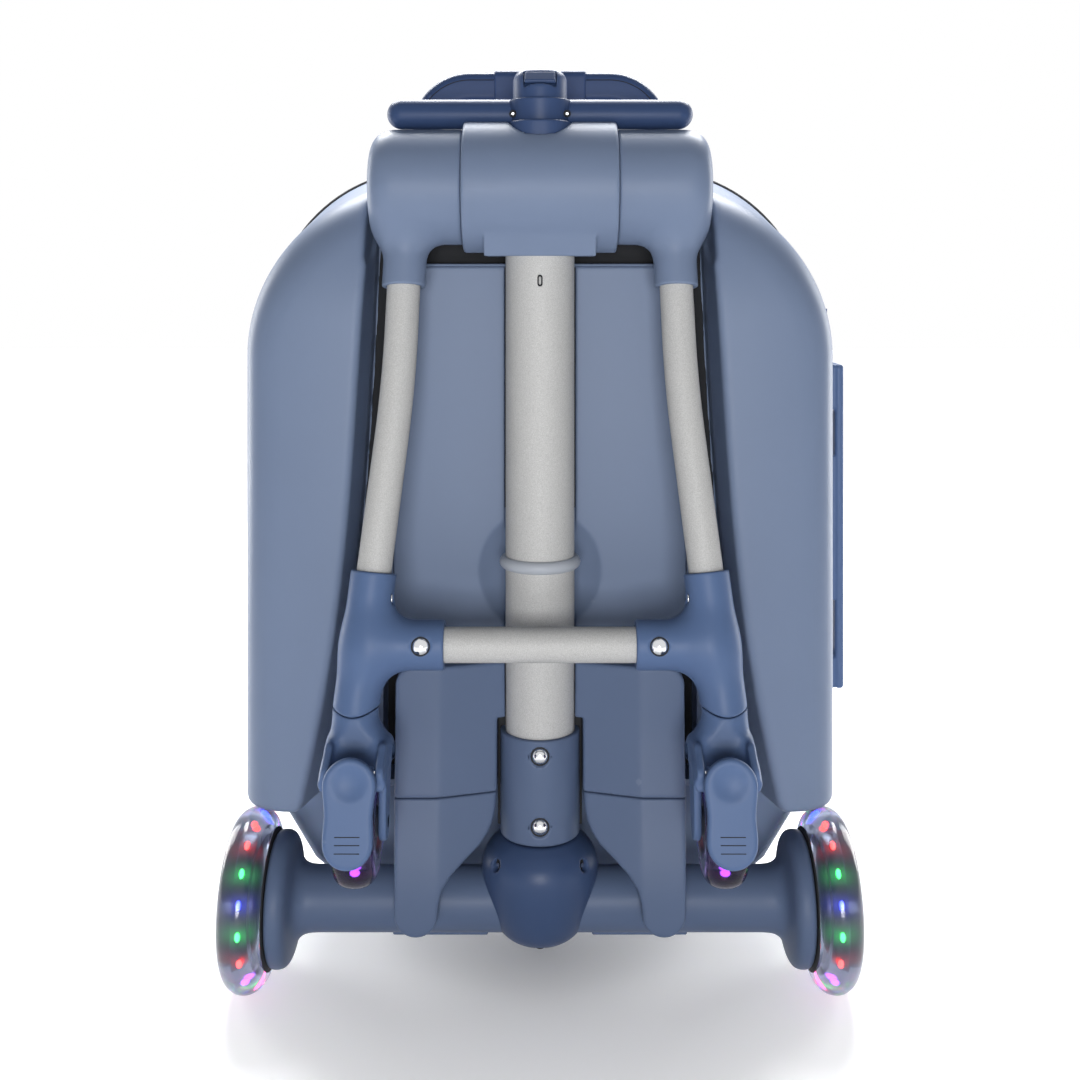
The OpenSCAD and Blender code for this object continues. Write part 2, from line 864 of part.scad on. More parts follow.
// Collar and head at the middle of the grip bar
module bar_collar() {
    color(deep_blue)
        difference() {
            union() {
                translate([0, 0, 500.4])
                    cylinder(r1 = 16.4, r2 = 18, h = 13);
                rotate_extrude()
                    polygon(concat([[0, 513.4], [15.7, 513.4]],
                        arc_pts(7.7, 522.7, 8, 0, 90, 6), [[0, 530.7]]));
            }
            translate([0, bar_y, bar_z])
                rotate([0, 90, 0])
                    cylinder(r = bar_r, h = 100, center = true);
            translate([-10, -18, 524.4])
                cube([20, 19, 10]);
            translate([0, -8.2, 514])
                cylinder(r = 2 + run_gap, h = 12, $fn = 24);
            for (s = [-1, 1])
                translate([s * 15.6, -4, 504.9])
                    rotate([90, 0, 0])
                        cylinder(r = 2.2, h = 20, $fn = 24);
        }
}

// Bar that the hands hold
module grip_bar() {
    color(deep_blue)
        translate([0, bar_y, bar_z]) {
            rotate([0, 90, 0])
                cylinder(r = bar_r, h = 2 * (bar_half - bar_r), center = true);
            for (s = [-1, 1])
                translate([s * (bar_half - bar_r), 0, 0])
                    sphere(r = bar_r);
        }
}

// Small screws in the collar
module collar_screws() {
    color(chrome)
        for (s = [-1, 1])
            translate([s * 15.6, bar_y - bar_r - run_gap, 504.9])
                rotate([90, 0, 0])
                    cylinder(r = 1.5, h = 1.45, $fn = 24);
}

// Button that releases the stem
module release_button() {
    color(deep_blue)
        union() {
            intersection() {
                translate([-9.6, -17, 526.8])
                    cube([19.2, 17.6, 10]);
                rotate_extrude()
                    polygon(concat([[0, 513.4], [15.9, 513.4]],
                        arc_pts(7.9, 522.9, 8, 0, 90, 6), [[0, 530.9]]));
            }
            translate([0, -8.2, 516.6])
                cylinder(r = 2, h = 11, $fn = 24);
        }
}

// Everything on the folding frame is drawn upright and then tilted about the barrel.
module in_frame() {
    translate([0, 0, barrel_z])
        rotate([-tilt, 0, 0])
            children();
}

// A round bar between two points of the frame plane
module bar_between(a, b, r) {
    d = [b[0] - a[0], -(b[1] - a[1])];
    length = sqrt(d[0] * d[0] + d[1] * d[1]);
    translate([a[0], 0, -a[1]])
        rotate([0, 90 - atan2(d[1], d[0]), 0])
            cylinder(r = r, h = length);
}

function on_leg(s) = s < leg_bend[1]
    ? [leg_top[0] + (leg_bend[0] - leg_top[0]) * (s - leg_top[1]) / (leg_bend[1] - leg_top[1]), s]
    : [leg_bend[0] + (leg_end[0] - leg_bend[0]) * (s - leg_bend[1]) / (leg_end[1] - leg_bend[1]), s];

module elbow() {
    in_frame()
        difference() {
            union() {
                rotate([0, 90, 0])
                    rotate_extrude($fn = 80)
                        polygon(concat(
                            [[0, elbow_in]],
                            arc_pts(elbow_r - 1, elbow_in + 1, 1, -90, 0, 2),
                            arc_pts(elbow_r - 16, elbow_out - 16, 16, 0, 90, 8),
                            [[0, elbow_out]]));
                bar_between(on_leg(20), on_leg(59), 12.3);
                difference() {
                    translate([54, -9, -43])
                        cube([22, 18, 20]);
                    translate([54, 0, -43.4])
                        rotate([90, 0, 0])
                            cylinder(r = 11, h = 40, center = true);
                }
            }
            bar_between(on_leg(20), on_leg(60), tube_r);
            translate([elbow_in - 5, 0, 0])
                rotate([0, 90, 0])
                    cylinder(r = pin_r + run_gap, h = 90.6 - elbow_in + 5);
        }
}

// Elbow on the hinge, left
module elbow_left() {
    color(shell_blue)
        mirror([1, 0, 0])
            elbow();
}

// Elbow on the hinge, right
module elbow_right() {
    color(shell_blue)
        elbow();
}

upper_a = atan2(leg_bend[0] - leg_top[0], leg_bend[1] - leg_top[1]);
lower_a = atan2(leg_end[0] - leg_bend[0], leg_end[1] - leg_bend[1]);
bend_a = (upper_a + lower_a) / 2;

// One straight length of the leg, cut square to the bend: side 1 is above it, side -1 below it
module leg_length(side, r, more) {
    past = side == 1 ? upper_a : lower_a;
    top = side == 1 ? on_leg(leg_top[1] - more) : leg_bend - [sin(past), cos(past)] * 10;
    bottom = side == 1 ? leg_bend + [sin(past), cos(past)] * 10 : on_leg(leg_end[1] + more);
    intersection() {
        bar_between(top, bottom, r);
        translate([leg_bend[0], 0, -leg_bend[1]])
            rotate([0, -bend_a, 0])
                translate([-40, -40, side == 1 ? 0 : -300])
                    cube([80, 80, 300]);
    }
}

module leg_tube() {
    in_frame()
        for (side = [1, -1])
            difference() {
                leg_length(side, tube_r, 0);
                leg_length(side, tube_r - 1.5, 1);
            }
}

// Bent frame tube, left
module leg_tube_left() {
    color(alu)
        mirror([1, 0, 0])
            leg_tube();
}

// Bent frame tube, right
module leg_tube_right() {
    color(alu)
        leg_tube();
}

module tee() {
    in_frame()
        difference() {
            union() {
                bar_between(on_leg(tee_top_s), on_leg(tee_end_s + 4), 12.5);
                translate([51.6, 0, -bar_s])
                    rotate([0, 90, 0])
                        cylinder(r = 13.4, h = 44);
                difference() {
                    translate([66, -9, -bar_s - 24])
                        cube([24, 18, 48]);
                    for (k = [[68.6, 24.2, 10.8], [72.6, -24.2, 10.8]])
                        translate([k[0], 0, -bar_s + k[1]])
                            rotate([90, 0, 0])
                                cylinder(r = k[2], h = 40, center = true);
                    translate([60, -20, -bar_s + 24.2])
                        cube([8.6, 40, 20]);
                }
            }
            translate([70, -20, -tee_end_s - 20])
                cube([60, 40, 20]);
            bar_between(on_leg(tee_top_s - 2), on_leg(tee_end_s + 6), tube_r);
            translate([on_leg(232)[0] - 11.6, -2, -232])
                rotate([0, -90, 0])
                    cylinder(r = 3.5, h = 6, $fn = 24);
            translate([50, 0, -bar_s])
                rotate([0, 90, 0])
                    cylinder(r = tube_r, h = 31);
            translate([63.6, -12.4, -bar_s])
                rotate([90, 0, 0])
                    cylinder(r = 5.3, h = 10, $fn = 32);
        }
}

// Joint between leg and crossbar, left
module tee_left() {
    color(deep_blue)
        mirror([1, 0, 0])
            tee();
}

// Joint between leg and crossbar, right
module tee_right() {
    color(deep_blue)
        tee();
}

// Tube across the frame
module crossbar() {
    color(alu)
        in_frame()
            translate([0, 0, -bar_s])
                rotate([0, 90, 0])
                    difference() {
                        cylinder(r = tube_r, h = 160, center = true);
                        cylinder(r = tube_r - 1.5, h = 162, center = true);
                    }
}

// Domed rivets on the two tees
module tee_rivets() {
    color(chrome)
        in_frame()
            for (s = [-1, 1]) {
                translate([s * 63.6, -13, -bar_s])
                    rotate([90, 0, 0])
                        rivet(4.6);
                translate([s * (on_leg(232)[0] - 12.2), -2, -232])
                    rotate([0, -90 * s, 0])
                        rivet(2.9);
            }
}

pivot_s = 318;
pivot_t = 27;

// Side view of one fork blade, with the arm that carries the pad
module blade_outline() {
    union() {
        hull() {
            translate([0, -rear_s])
                circle(r = 6, $fn = 32);
            translate([-9, -tee_end_s - 10])
                square([20, 10]);
        }
        hull() {
            translate([-pivot_t, -pivot_s])
                circle(r = 4, $fn = 24);
            translate([-11, -tee_end_s - 14])
                square([14, 13]);
        }
    }
}

module fork() {
    in_frame()
        difference() {
            union() {
                for (k = [-1, 1])
                    translate([rear_x + k * 13.9 - 2.1, 0, 0])
                        rotate([90, 0, 90])
                            linear_extrude(4.2)
                                blade_outline();
                translate([rear_x - 16, -12, -tee_end_s - 18.6])
                    cube([32, 24, 18.6]);
                bar_between(on_leg(tee_end_s - 4), on_leg(tee_end_s + 2), tube_r - 0.05);
            }
            translate([rear_x - 20, 0, -rear_s])
                rotate([0, 90, 0])
                    cylinder(r = 3, h = 40, $fn = 32);
            translate([rear_x - 20, -pivot_t, -pivot_s])
                rotate([0, 90, 0])
                    cylinder(r = 2, h = 40, $fn = 24);
        }
}

// Fork around the small wheel, left
module fork_left() {
    color(deep_blue)
        mirror([1, 0, 0])
            fork();
}

// Fork around the small wheel, right
module fork_right() {
    color(deep_blue)
        fork();
}

// Axles of the small wheels and pins of the pads
module rear_axles() {
    color(chrome)
        in_frame()
            for (s = [-1, 1]) {
                translate([s * rear_x, 0, -rear_s])
                    rotate([0, 90, 0])
                        cylinder(r = 3, h = 32, center = true, $fn = 32);
                translate([s * rear_x, -pivot_t, -pivot_s])
                    rotate([0, 90, 0])
                        cylinder(r = 2, h = 32, center = true, $fn = 24);
            }
}

rear_line = [[18, -11.2], [23, -11.4], [27, -10.8], [30, -8.6], [31.9, -5], [32.5, 0], [31.9, 5], [30, 8.6],
    [27, 10.8], [23, 11.4], [18, 11.2], [18, 3.4], [25.4, 3.4], [25.4, -3.4], [18, -3.4]];

module rear_tyre() {
    in_frame()
        translate([rear_x, 0, -rear_s])
            rotate([0, 90, 0])
                rotate_extrude($fn = 64)
                    polygon(rear_line);
}

// Small clear tyre, left
module rear_tyre_left() {
    color(smoke)
        mirror([1, 0, 0])
            rear_tyre();
}

// Small clear tyre, right
module rear_tyre_right() {
    color(smoke)
        rear_tyre();
}

module rear_hub() {
    in_frame()
        translate([rear_x, 0, -rear_s])
            rotate([0, 90, 0])
                union() {
                    rotate_extrude($fn = 48)
                        polygon([[3.05, -11.3], [7, -11.3], [8, -9.5], [15, -9.5], [16, -11.2], [18, -11.2],
                            [18, -3], [20, -3], [20, 3], [18, 3], [18, 11.2], [16, 11.2],
                            [15, 9.5], [8, 9.5], [7, 11.3], [3.05, 11.3]]);
                    for (i = [0:9])
                        rotate([0, 0, i * 36])
                            translate([21.6, 0, 0])
                                sphere(r = 2.4, $fn = 16);
                }
}

// Small wheel centre with lights, left
module rear_hub_left() {
    color([0.7, 0.3, 0.9])
        mirror([1, 0, 0])
            rear_hub();
}

// Small wheel centre with lights, right
module rear_hub_right() {
    color([0.7, 0.3, 0.9])
        rear_hub();
}

pad_t = 35.5;

// Front view of a pad, with a slight waist
function pad_pts(d) = concat(
    arc_pts(0, -317.5, 13.4 - d, 0, 180, 14),
    [[-13.5 + d, -326], [-13.3 + d, -333], [-12.6 + d, -338]],
    arc_pts(0, -348.9, 12.6 - d, 180, 360, 14),
    [[12.6 - d, -338], [13.3 - d, -333], [13.5 - d, -326]]);

module brake_pad() {
    in_frame()
        translate([rear_x, 0, 0])
            difference() {
                union() {
                    loft([
                        at_y([for (i = [len(pad_pts(0)) - 1:-1:0]) pad_pts(2.2)[i]], -pad_t - 5.2),
                        at_y([for (i = [len(pad_pts(0)) - 1:-1:0]) pad_pts(0.7)[i]], -pad_t - 4.4),
                        at_y([for (i = [len(pad_pts(0)) - 1:-1:0]) pad_pts(0)[i]], -pad_t - 3),
                        at_y([for (i = [len(pad_pts(0)) - 1:-1:0]) pad_pts(0)[i]], -pad_t)
                    ]);
                    translate([-11, 0, 0])
                        rotate([90, 0, 90])
                            linear_extrude(22)
                                hull() {
                                    translate([-pivot_t, -pivot_s])
                                        circle(r = 3.8, $fn = 24);
                                    translate([-pad_t - 1, -pivot_s - 5])
                                        square([1, 10]);
                                }
                }
                translate([0, -pad_t - 5.2 - 26.6, -322])
                    sphere(r = 28, $fn = 64);
                for (s = [344.5, 348, 351.5])
                    translate([-6.3, -pad_t - 8, -s])
                        cube([12.6, 3.5, 0.9]);
                translate([-20, -pivot_t, -pivot_s])
                    rotate([0, 90, 0])
                        cylinder(r = 2 + run_gap, h = 40, $fn = 24);
            }
}

// Pad in front of the small wheel, left
module brake_pad_left() {
    color(deep_blue)
        mirror([1, 0, 0])
            brake_pad();
}

// Pad in front of the small wheel, right
module brake_pad_right() {
    color(deep_blue)
        brake_pad();
}

// Far half of the case, hinged on the left side
module lid_shell() {
    color(shell_blue)
        difference() {
            loft([for (q = lid_rings) lid_ring(q[0], q[1], 0)]);
            loft([for (q = lid_rings)
                lid_ring(q[0] == lid_y ? lid_y - 1 : (q[0] == far_y ? far_y - wall : q[0] - 0.5), q[1], wall)]);
        }
}

// Moves the whole so that the origin lies below the middle of its bounding box
module row_frame() {
    translate([-centre_x, -centre_y, 0])
        children();
}

row_frame() back_shell();
row_frame() recess_panel();
row_frame() axle_saddle();
row_frame() clamp_left();
row_frame() clamp_right();
row_frame() base_skirt();
row_frame() rubber_feet();
row_frame() seam_gasket();
row_frame() lid_hinge_leaves();
row_frame() latch_bases();
row_frame() handle_arms();
row_frame() handle_grip();
row_frame() side_handle();
row_frame() barrel();
row_frame() hinge_pins();
row_frame() barrel_bracket();
row_frame() stem_bush();
row_frame() pole_tube();
row_frame() pole_ring();
row_frame() pole_socket();
row_frame() socket_rivets();
row_frame() steer_housing();
row_frame() housing_screws();
row_frame() axle_beam();
row_frame() axle_rod();
row_frame() front_tyre_left();
row_frame() front_tyre_right();
row_frame() front_hub_left();
row_frame() front_hub_right();
row_frame() front_leds_left();
row_frame() front_leds_right();
row_frame() stem_tube();
row_frame() bar_collar();
row_frame() grip_bar();
row_frame() collar_screws();
row_frame() release_button();
row_frame() elbow_left();
row_frame() elbow_right();
row_frame() leg_tube_left();
row_frame() leg_tube_right();
row_frame() tee_left();
row_frame() tee_right();
row_frame() crossbar();
row_frame() tee_rivets();
row_frame() fork_left();
row_frame() fork_right();
row_frame() rear_axles();
row_frame() rear_tyre_left();
row_frame() rear_tyre_right();
row_frame() rear_hub_left();
row_frame() rear_hub_right();
row_frame() brake_pad_left();
row_frame() brake_pad_right();
row_frame() lid_shell();
row_frame() lid_hinge_knuckles();
row_frame() latch_lever_upper();
row_frame() latch_lever_lower();
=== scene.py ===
"""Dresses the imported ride-on suitcase: moulded shells, blasted tubes, clear light-up wheels and a studio."""

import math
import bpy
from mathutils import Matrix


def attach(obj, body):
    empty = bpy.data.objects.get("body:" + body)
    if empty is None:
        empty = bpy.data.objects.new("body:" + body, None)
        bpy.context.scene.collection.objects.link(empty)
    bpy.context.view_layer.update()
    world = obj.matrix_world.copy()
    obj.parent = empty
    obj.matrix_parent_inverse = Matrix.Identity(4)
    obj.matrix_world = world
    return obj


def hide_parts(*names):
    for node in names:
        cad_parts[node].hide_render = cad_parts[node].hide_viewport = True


bl_info = {
    "name": "Ride On Suitcase Builder",
    "version": (1, 0, 0),
    "blender": (4, 5, 0),
    "location": "3D View > Sidebar > Suitcase",
    "description": "Builds a ride-on travel case with a folding frame around its packed mechanical model",
    "category": "Add Mesh",
}

import bmesh
import bpy
import numpy as np
from mathutils import Matrix, Vector

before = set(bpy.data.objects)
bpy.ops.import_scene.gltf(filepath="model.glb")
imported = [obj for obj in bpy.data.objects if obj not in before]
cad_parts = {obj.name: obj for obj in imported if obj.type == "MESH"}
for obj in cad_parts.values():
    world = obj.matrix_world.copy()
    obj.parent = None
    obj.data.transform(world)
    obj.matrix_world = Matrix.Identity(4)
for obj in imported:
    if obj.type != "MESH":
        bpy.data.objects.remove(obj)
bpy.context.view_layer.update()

# The drawing's zero is the middle of the front axle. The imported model's zero is below the middle of its box.
AXLE = np.array([-3.01, -18.64, 0.0])
MM = 0.001
SIDES = (("left", -1), ("right", 1))

# Sizes that several pieces share, in millimetres of the drawing
BARREL_Z = 463.0
BARREL_R = 38.0
BARREL_HALF = 44.2
ELBOW_R = 33.4
TILT = math.radians(11.7)
NEAR_Y = -15.0
SEAM_Y = 103.0
LID_Y = 107.0
FAR_Y = 150.0
RECESS_Y = 25.0
CASE_BOTTOM = 104.0
CASE_TOP = 480.0
CASE_HALF = 176.0
ARCH_R = 100.0
WALL = 3.0
POLE_R = 20.0
TUBE_R = 9.5
LEG_TOP = (76.9, 20.0)
LEG_BEND = (79.6, 114.0)
LEG_END = (98.9, 291.0)
BAR_S = 256.3
TEE_TOP_S = 217.5
TEE_END_S = 291.0
TEE_RIVET_X = 63.6
LEG_RIVET_S = 232.0
REAR_S = 346.0
REAR_X = 96.0
WHEEL_Z = 50.0
DISH_R = 37.0
DISH_Z = 234.2
CHANNEL_X = 19.2


# Distance fields, in millimetres of the drawing and negative inside the solid, and ways to combine them

def join(a, b, fillet):
    """Union of two fields with a fillet of about the given radius."""
    h = np.clip(0.5 + 0.5 * (b - a) / fillet, 0.0, 1.0)
    return b * (1 - h) + a * h - fillet * h * (1 - h)


def trim(a, b, edge):
    """Intersection of two fields with a rounded edge."""
    return -join(-a, -b, edge)


def carve(a, b, edge):
    """Field a with field b taken out and the rim rounded."""
    return -join(-a, b, edge)


def rod(p, start, end, radius):
    """Capsule between two points."""
    start, end = np.array(start, float), np.array(end, float)
    along = end - start
    rel = [c - s for c, s in zip(p, start)]
    t = np.clip(sum(r * a for r, a in zip(rel, along)) / float(along @ along), 0.0, 1.0)
    return np.sqrt(sum((r - t * a) ** 2 for r, a in zip(rel, along))) - radius


def block(p, centre, half, edge):
    """Box with rounded edges."""
    q = [np.abs(c - m) - h + edge for c, m, h in zip(p, centre, half)]
    outside = np.sqrt(sum(np.maximum(c, 0.0) ** 2 for c in q))
    return outside + np.minimum(np.maximum(q[0], np.maximum(q[1], q[2])), 0.0) - edge


def corner(u, v, r):
    """Two sides that meet in a round corner, each given by the distance past it."""
    u, v = u + r, v + r
    return np.minimum(np.maximum(u, v), 0) + np.hypot(np.maximum(u, 0), np.maximum(v, 0)) - r


def outline(u, v, points):
    """Signed distance to a closed polygon in a plane."""
    best = np.full(np.shape(u), np.inf)
    inside = np.zeros(np.shape(u), bool)
    for (ax, ay), (bx, by) in zip(points, points[1:] + points[:1]):
        ex, ey = bx - ax, by - ay
        wx, wy = u - ax, v - ay
        t = np.clip((wx * ex + wy * ey) / (ex * ex + ey * ey), 0.0, 1.0)
        best = np.minimum(best, (wx - t * ex) ** 2 + (wy - t * ey) ** 2)
        crosses = (ay > v) != (by > v)
        inside ^= crosses & (u < ex * wy / (ey or 1.0) + ax)
    return np.where(inside, -1.0, 1.0) * np.sqrt(best)


def in_frame(y, z):
    """Distance down the folding frame and distance towards the pull side."""
    dz = z - BARREL_Z
    return -y * math.sin(TILT) - dz * math.cos(TILT), -y * math.cos(TILT) + dz * math.sin(TILT)


def frame_point(x, s, t):
    """A point of the folding frame in the drawing."""
    y = -s * math.sin(TILT) - t * math.cos(TILT)
    z = BARREL_Z - s * math.cos(TILT) + t * math.sin(TILT)
    return (x, y, z)


def leg_x(s):
    """Sideways place of the leg at a distance down the frame."""
    a, b = (LEG_TOP, LEG_BEND) if s < LEG_BEND[1] else (LEG_BEND, LEG_END)
    return a[0] + (b[0] - a[0]) * (s - a[1]) / (b[1] - a[1])


def leg_rod(p, start, end, radius):
    """Capsule along the leg between two distances down the frame."""
    return rod(p, (leg_x(start), start, 0), (leg_x(end), end, 0), radius)


# Turning fields, profiles and paths into meshes

def surface_of(field, low, high, step):
    """Points and quads of a field's surface, found cell by cell and then pulled onto it."""
    axes = [np.arange(a - 1.7 * step, b + 2.7 * step, step) for a, b in zip(low, high)]
    solid = field(*np.meshgrid(*axes, indexing="ij")) < 0
    across, deep, tall = np.array(solid.shape) - 1
    corners = sum(
        solid[i:across + i, j:deep + j, k:tall + k].astype(np.int8)
        for i in (0, 1) for j in (0, 1) for k in (0, 1)
    )
    cells = np.argwhere((corners > 0) & (corners < 8))
    index = np.full(corners.shape, -1)
    index[tuple(cells.T)] = np.arange(len(cells))
    points = np.stack([axes[a][cells[:, a]] + step / 2 for a in range(3)])
    quads = []
    for axis in range(3):
        side = np.moveaxis(solid, axis, 0)
        number = np.moveaxis(index, axis, 0)
        i, j, k = np.nonzero(side[:-1, 1:-1, 1:-1] != side[1:, 1:-1, 1:-1])
        j, k = j + 1, k + 1
        around = [number[i, j - b, k - c] for b, c in ((1, 1), (0, 1), (0, 0), (1, 0))]
        loop = np.stack(around, 1)
        outwards = side[i, j, k] if axis != 1 else ~side[i, j, k]
        loop[~outwards] = loop[~outwards][:, ::-1]
        quads.append(loop)
    reach = 0.02
    for _ in range(5):
        value = field(*points)
        slope = np.stack([
            (field(*(points + d[:, None])) - field(*(points - d[:, None]))) / (2 * reach)
            for d in np.eye(3) * reach
        ])
        move = -value * slope / np.maximum((slope ** 2).sum(0), 0.2)
        size = np.sqrt((move ** 2).sum(0))
        points = points + move * np.minimum(1.0, 0.6 * step / np.maximum(size, 1e-9))
    return points.T, np.concatenate(quads)


def piece(name, shape, body, nodes, finish, sharp=None):
    """A mesh object riding on a body in the place of some nodes.

    The shape is its points, in millimetres of the drawing, and its faces. Edges stay crisp where faces meet
    at more than the sharp angle, in degrees.
    """
    points, faces = shape
    mesh = bpy.data.meshes.new(name)
    mesh.from_pydata((np.asarray(points, float) + AXLE) * MM, [], [tuple(map(int, f)) for f in faces])
    mesh.validate()
    bm = bmesh.new()
    bm.from_mesh(mesh)
    bmesh.ops.recalc_face_normals(bm, faces=bm.faces)
    bm.to_mesh(mesh)
    bm.free()
    mesh.shade_smooth()
    if sharp:
        mesh.set_sharp_from_angle(angle=math.radians(sharp))
    mesh.materials.append(bpy.data.materials[finish])
    obj = bpy.data.objects.new(name, mesh)
    bpy.context.scene.collection.objects.link(obj)
    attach(obj, body)
    if nodes:
        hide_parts(*nodes)
    return obj


def shadow(name, shape, body, sharp=None):
    """A near-black piece of painted shade, put where a gap beside or behind another piece lies in shade."""
    return piece(name, shape, body, [], "gap shadow", sharp=sharp)


def moulded(name, field, low, high, step, body, nodes, finish, flip=False):
    """A moulded piece from a distance field. With flip it is mirrored to the left side."""
    points, quads = surface_of(field, low, high, step)
    if flip:
        points = points * (-1, 1, 1)
        quads = quads[:, ::-1]
    return piece(name, (points, quads), body, nodes, finish)


def ring_mesh(rings, loop=False):
    """Points and faces through rings of equal length, with capped ends or joined into a loop."""
    count, rows = len(rings[0]), len(rings)
    faces = []
    for i in range(rows if loop else rows - 1):
        here, there = i * count, (i + 1) % rows * count
        for j in range(count):
            k = (j + 1) % count
            faces.append((here + j, here + k, there + k, there + j))
    if not loop:
        faces.append(tuple(range(count))[::-1])
        faces.append(tuple(range((rows - 1) * count, rows * count)))
    return np.concatenate([np.asarray(r, float) for r in rings]), faces


def turned(profile, centre, axis, sides=96):
    """Points and faces of a closed profile of (radius, place along the axis) turned about an axis."""
    rings = []
    for a in np.arange(sides) * 2 * math.pi / sides:
        ring = []
        for r, h in profile:
            u, v = r * math.cos(a), r * math.sin(a)
            ring.append({"x": (h, u, v), "y": (v, h, u), "z": (u, v, h)}[axis])
        rings.append(np.array(ring) + centre)
    return ring_mesh(rings, loop=True)


def swept(path, radius, sides=8):
    """Points and faces of a round tube along a path of points."""
    path = np.asarray(path, float)
    tangents = np.gradient(path, axis=0)
    tangents /= np.linalg.norm(tangents, axis=1)[:, None]
    turn = np.arange(sides)[:, None] * 2 * math.pi / sides
    side = np.cross(tangents[0], (0.0, 0.0, 1.0) if abs(tangents[0][2]) < 0.9 else (0.0, 1.0, 0.0))
    rings = []
    for p, t in zip(path, tangents):
        side = side - t * (side @ t)
        side /= np.linalg.norm(side)
        rings.append(p + radius * (side * np.cos(turn) + np.cross(side, t) * np.sin(turn)))
    return ring_mesh(rings)


def arc(cx, cy, radius, start, end, count):
    """Points of an arc in a plane, angles in degrees."""
    return [(cx + radius * math.cos(math.radians(start + (end - start) * i / count)),
             cy + radius * math.sin(math.radians(start + (end - start) * i / count)))
            for i in range(count + 1)]


def rounded(w, low, high, r_low, r_high, fine_low=8, fine_high=26):
    """An outline with round corners, reaching as far each side of zero, anticlockwise."""
    return (arc(w - r_low, low + r_low, r_low, -90, 0, fine_low)
            + arc(w - r_high, high - r_high, r_high, 0, 90, fine_high)
            + arc(r_high - w, high - r_high, r_high, 90, 180, fine_high)
            + arc(r_low - w, low + r_low, r_low, 180, 270, fine_low))


def mirrored(line, s=-1):
    """A turned profile moved to the other side of zero, or kept where s is 1."""
    return [(r, s * h) for r, h in line]


def smooth_line(points, rounds=2):
    """Rounds an open profile by cutting its corners a few times."""
    pts = np.asarray(points, float)
    for _ in range(rounds):
        here, there = pts[:-1], pts[1:]
        cut = np.stack([here * 0.75 + there * 0.25, here * 0.25 + there * 0.75], 1).reshape(-1, 2)
        pts = np.concatenate([pts[:1], cut, pts[-1:]])
    return [tuple(p) for p in pts]


def merge(*parts):
    """Joins several (points, faces) pairs into one."""
    points, faces, start = [], [], 0
    for pts, fcs in parts:
        points.append(np.asarray(pts, float))
        faces += [tuple(i + start for i in f) for f in fcs]
        start += len(pts)
    return np.concatenate(points), faces


def placed(shape, *turns, scale=1.0, at=(0, 0, 0)):
    """A shape scaled, turned by some rotations and moved."""
    points = shape[0] * scale
    for angle, axis in turns:
        points = points @ np.array(Matrix.Rotation(angle, 3, axis)).T
    return points + at, shape[1]


# Materials

def plug(node, sockets):
    """Sets sockets of a node, by name or number, to values or to what other nodes give out."""
    for key, value in sockets.items():
        if isinstance(value, bpy.types.NodeSocket):
            node.id_data.links.new(value, node.inputs[key])
        else:
            node.inputs[key].default_value = value
    return node


def add(tree, kind, sockets, **settings):
    """Adds a shader node of a kind to a tree."""
    node = tree.nodes.new("ShaderNode" + kind)
    for key, value in settings.items():
        setattr(node, key, value)
    return plug(node, sockets)


def ranged(value, low, high, start=0.0, end=1.0):
    """What a node gives out between start and end, mapped to run from low to high."""
    sockets = {"Value": value, "From Min": start, "From Max": end, "To Min": low, "To Max": high}
    return add(value.id_data, "MapRange", sockets).outputs["Result"]


def grained(name, colour, noise, drift=None, bump=None):
    """Shader, noise and colour of a new material whose colour drifts with the noise over a fine bump."""
    material = bpy.data.materials.new(name)
    material.use_nodes = True
    tree = material.node_tree
    surface = tree.nodes["Principled BSDF"]
    place = add(tree, "TexCoord", {}).outputs["Object"]
    clouds = add(tree, "TexNoise", {"Vector": place, **noise}).outputs["Fac"]
    tint = (*colour, 1.0)
    if drift:
        tint = add(tree, "HueSaturation", {"Value": ranged(clouds, *drift), "Color": tint}).outputs["Color"]
    if bump:
        scale, strength, distance = bump
        grain = add(tree, "TexNoise", {"Vector": place, "Scale": scale, "Detail": 3.0}).outputs["Fac"]
        normal = add(tree, "Bump", {"Height": grain, "Strength": strength, "Distance": distance})
        plug(surface, {"Normal": normal.outputs["Normal"]})
    return plug(surface, {"Base Color": tint}), clouds, tint


def moulded_plastic(name, colour, roughness):
    """Satin moulded plastic: spark-eroded grain, faint cloudiness and paler rubbed edges."""
    surface, clouds, base = grained(name, colour, {"Scale": 14.0}, (0.96, 1.04), (2600.0, 0.12, 0.0002))
    tree = surface.id_data
    worn = ranged(add(tree, "NewGeometry", {}).outputs["Pointiness"], 0.0, 0.05, 0.53, 0.60)
    pale = add(tree, "Mix", {0: worn, 6: base, 7: (0.62, 0.66, 0.74, 1.0)}, data_type="RGBA").outputs[2]
    rough = ranged(clouds, roughness - 0.04, roughness + 0.05)
    plug(surface, {"Base Color": pale, "Roughness": rough, "Specular IOR Level": 0.16})


def blasted_metal(name, colour):
    """Bead-blasted aluminium: bright grain on a dull metal."""
    speck = {"Scale": 1900.0, "Detail": 4.0, "Roughness": 0.8}
    surface = grained(name, colour, speck, (0.72, 1.22, 0.3, 0.7), (1500.0, 0.35, 0.0003))[0]
    plug(surface, {"Metallic": 0.08, "Roughness": 0.6, "Specular IOR Level": 0.06})


def polished_steel(name, colour, roughness):
    """Bright steel with faint turning marks."""
    surface, clouds, _ = grained(name, colour, {"Scale": 90.0}, None, (400.0, 0.03, 0.0002))
    return plug(surface, {"Metallic": 1.0, "Roughness": ranged(clouds, roughness, roughness + 0.07)})


def dark_rubber(name, colour, roughness):
    """Matte rubber with a faint bloom."""
    surface = grained(name, colour, {"Scale": 40.0}, (0.8, 1.3), (900.0, 0.2, 0.0003))[0]
    plug(surface, {"Roughness": roughness})


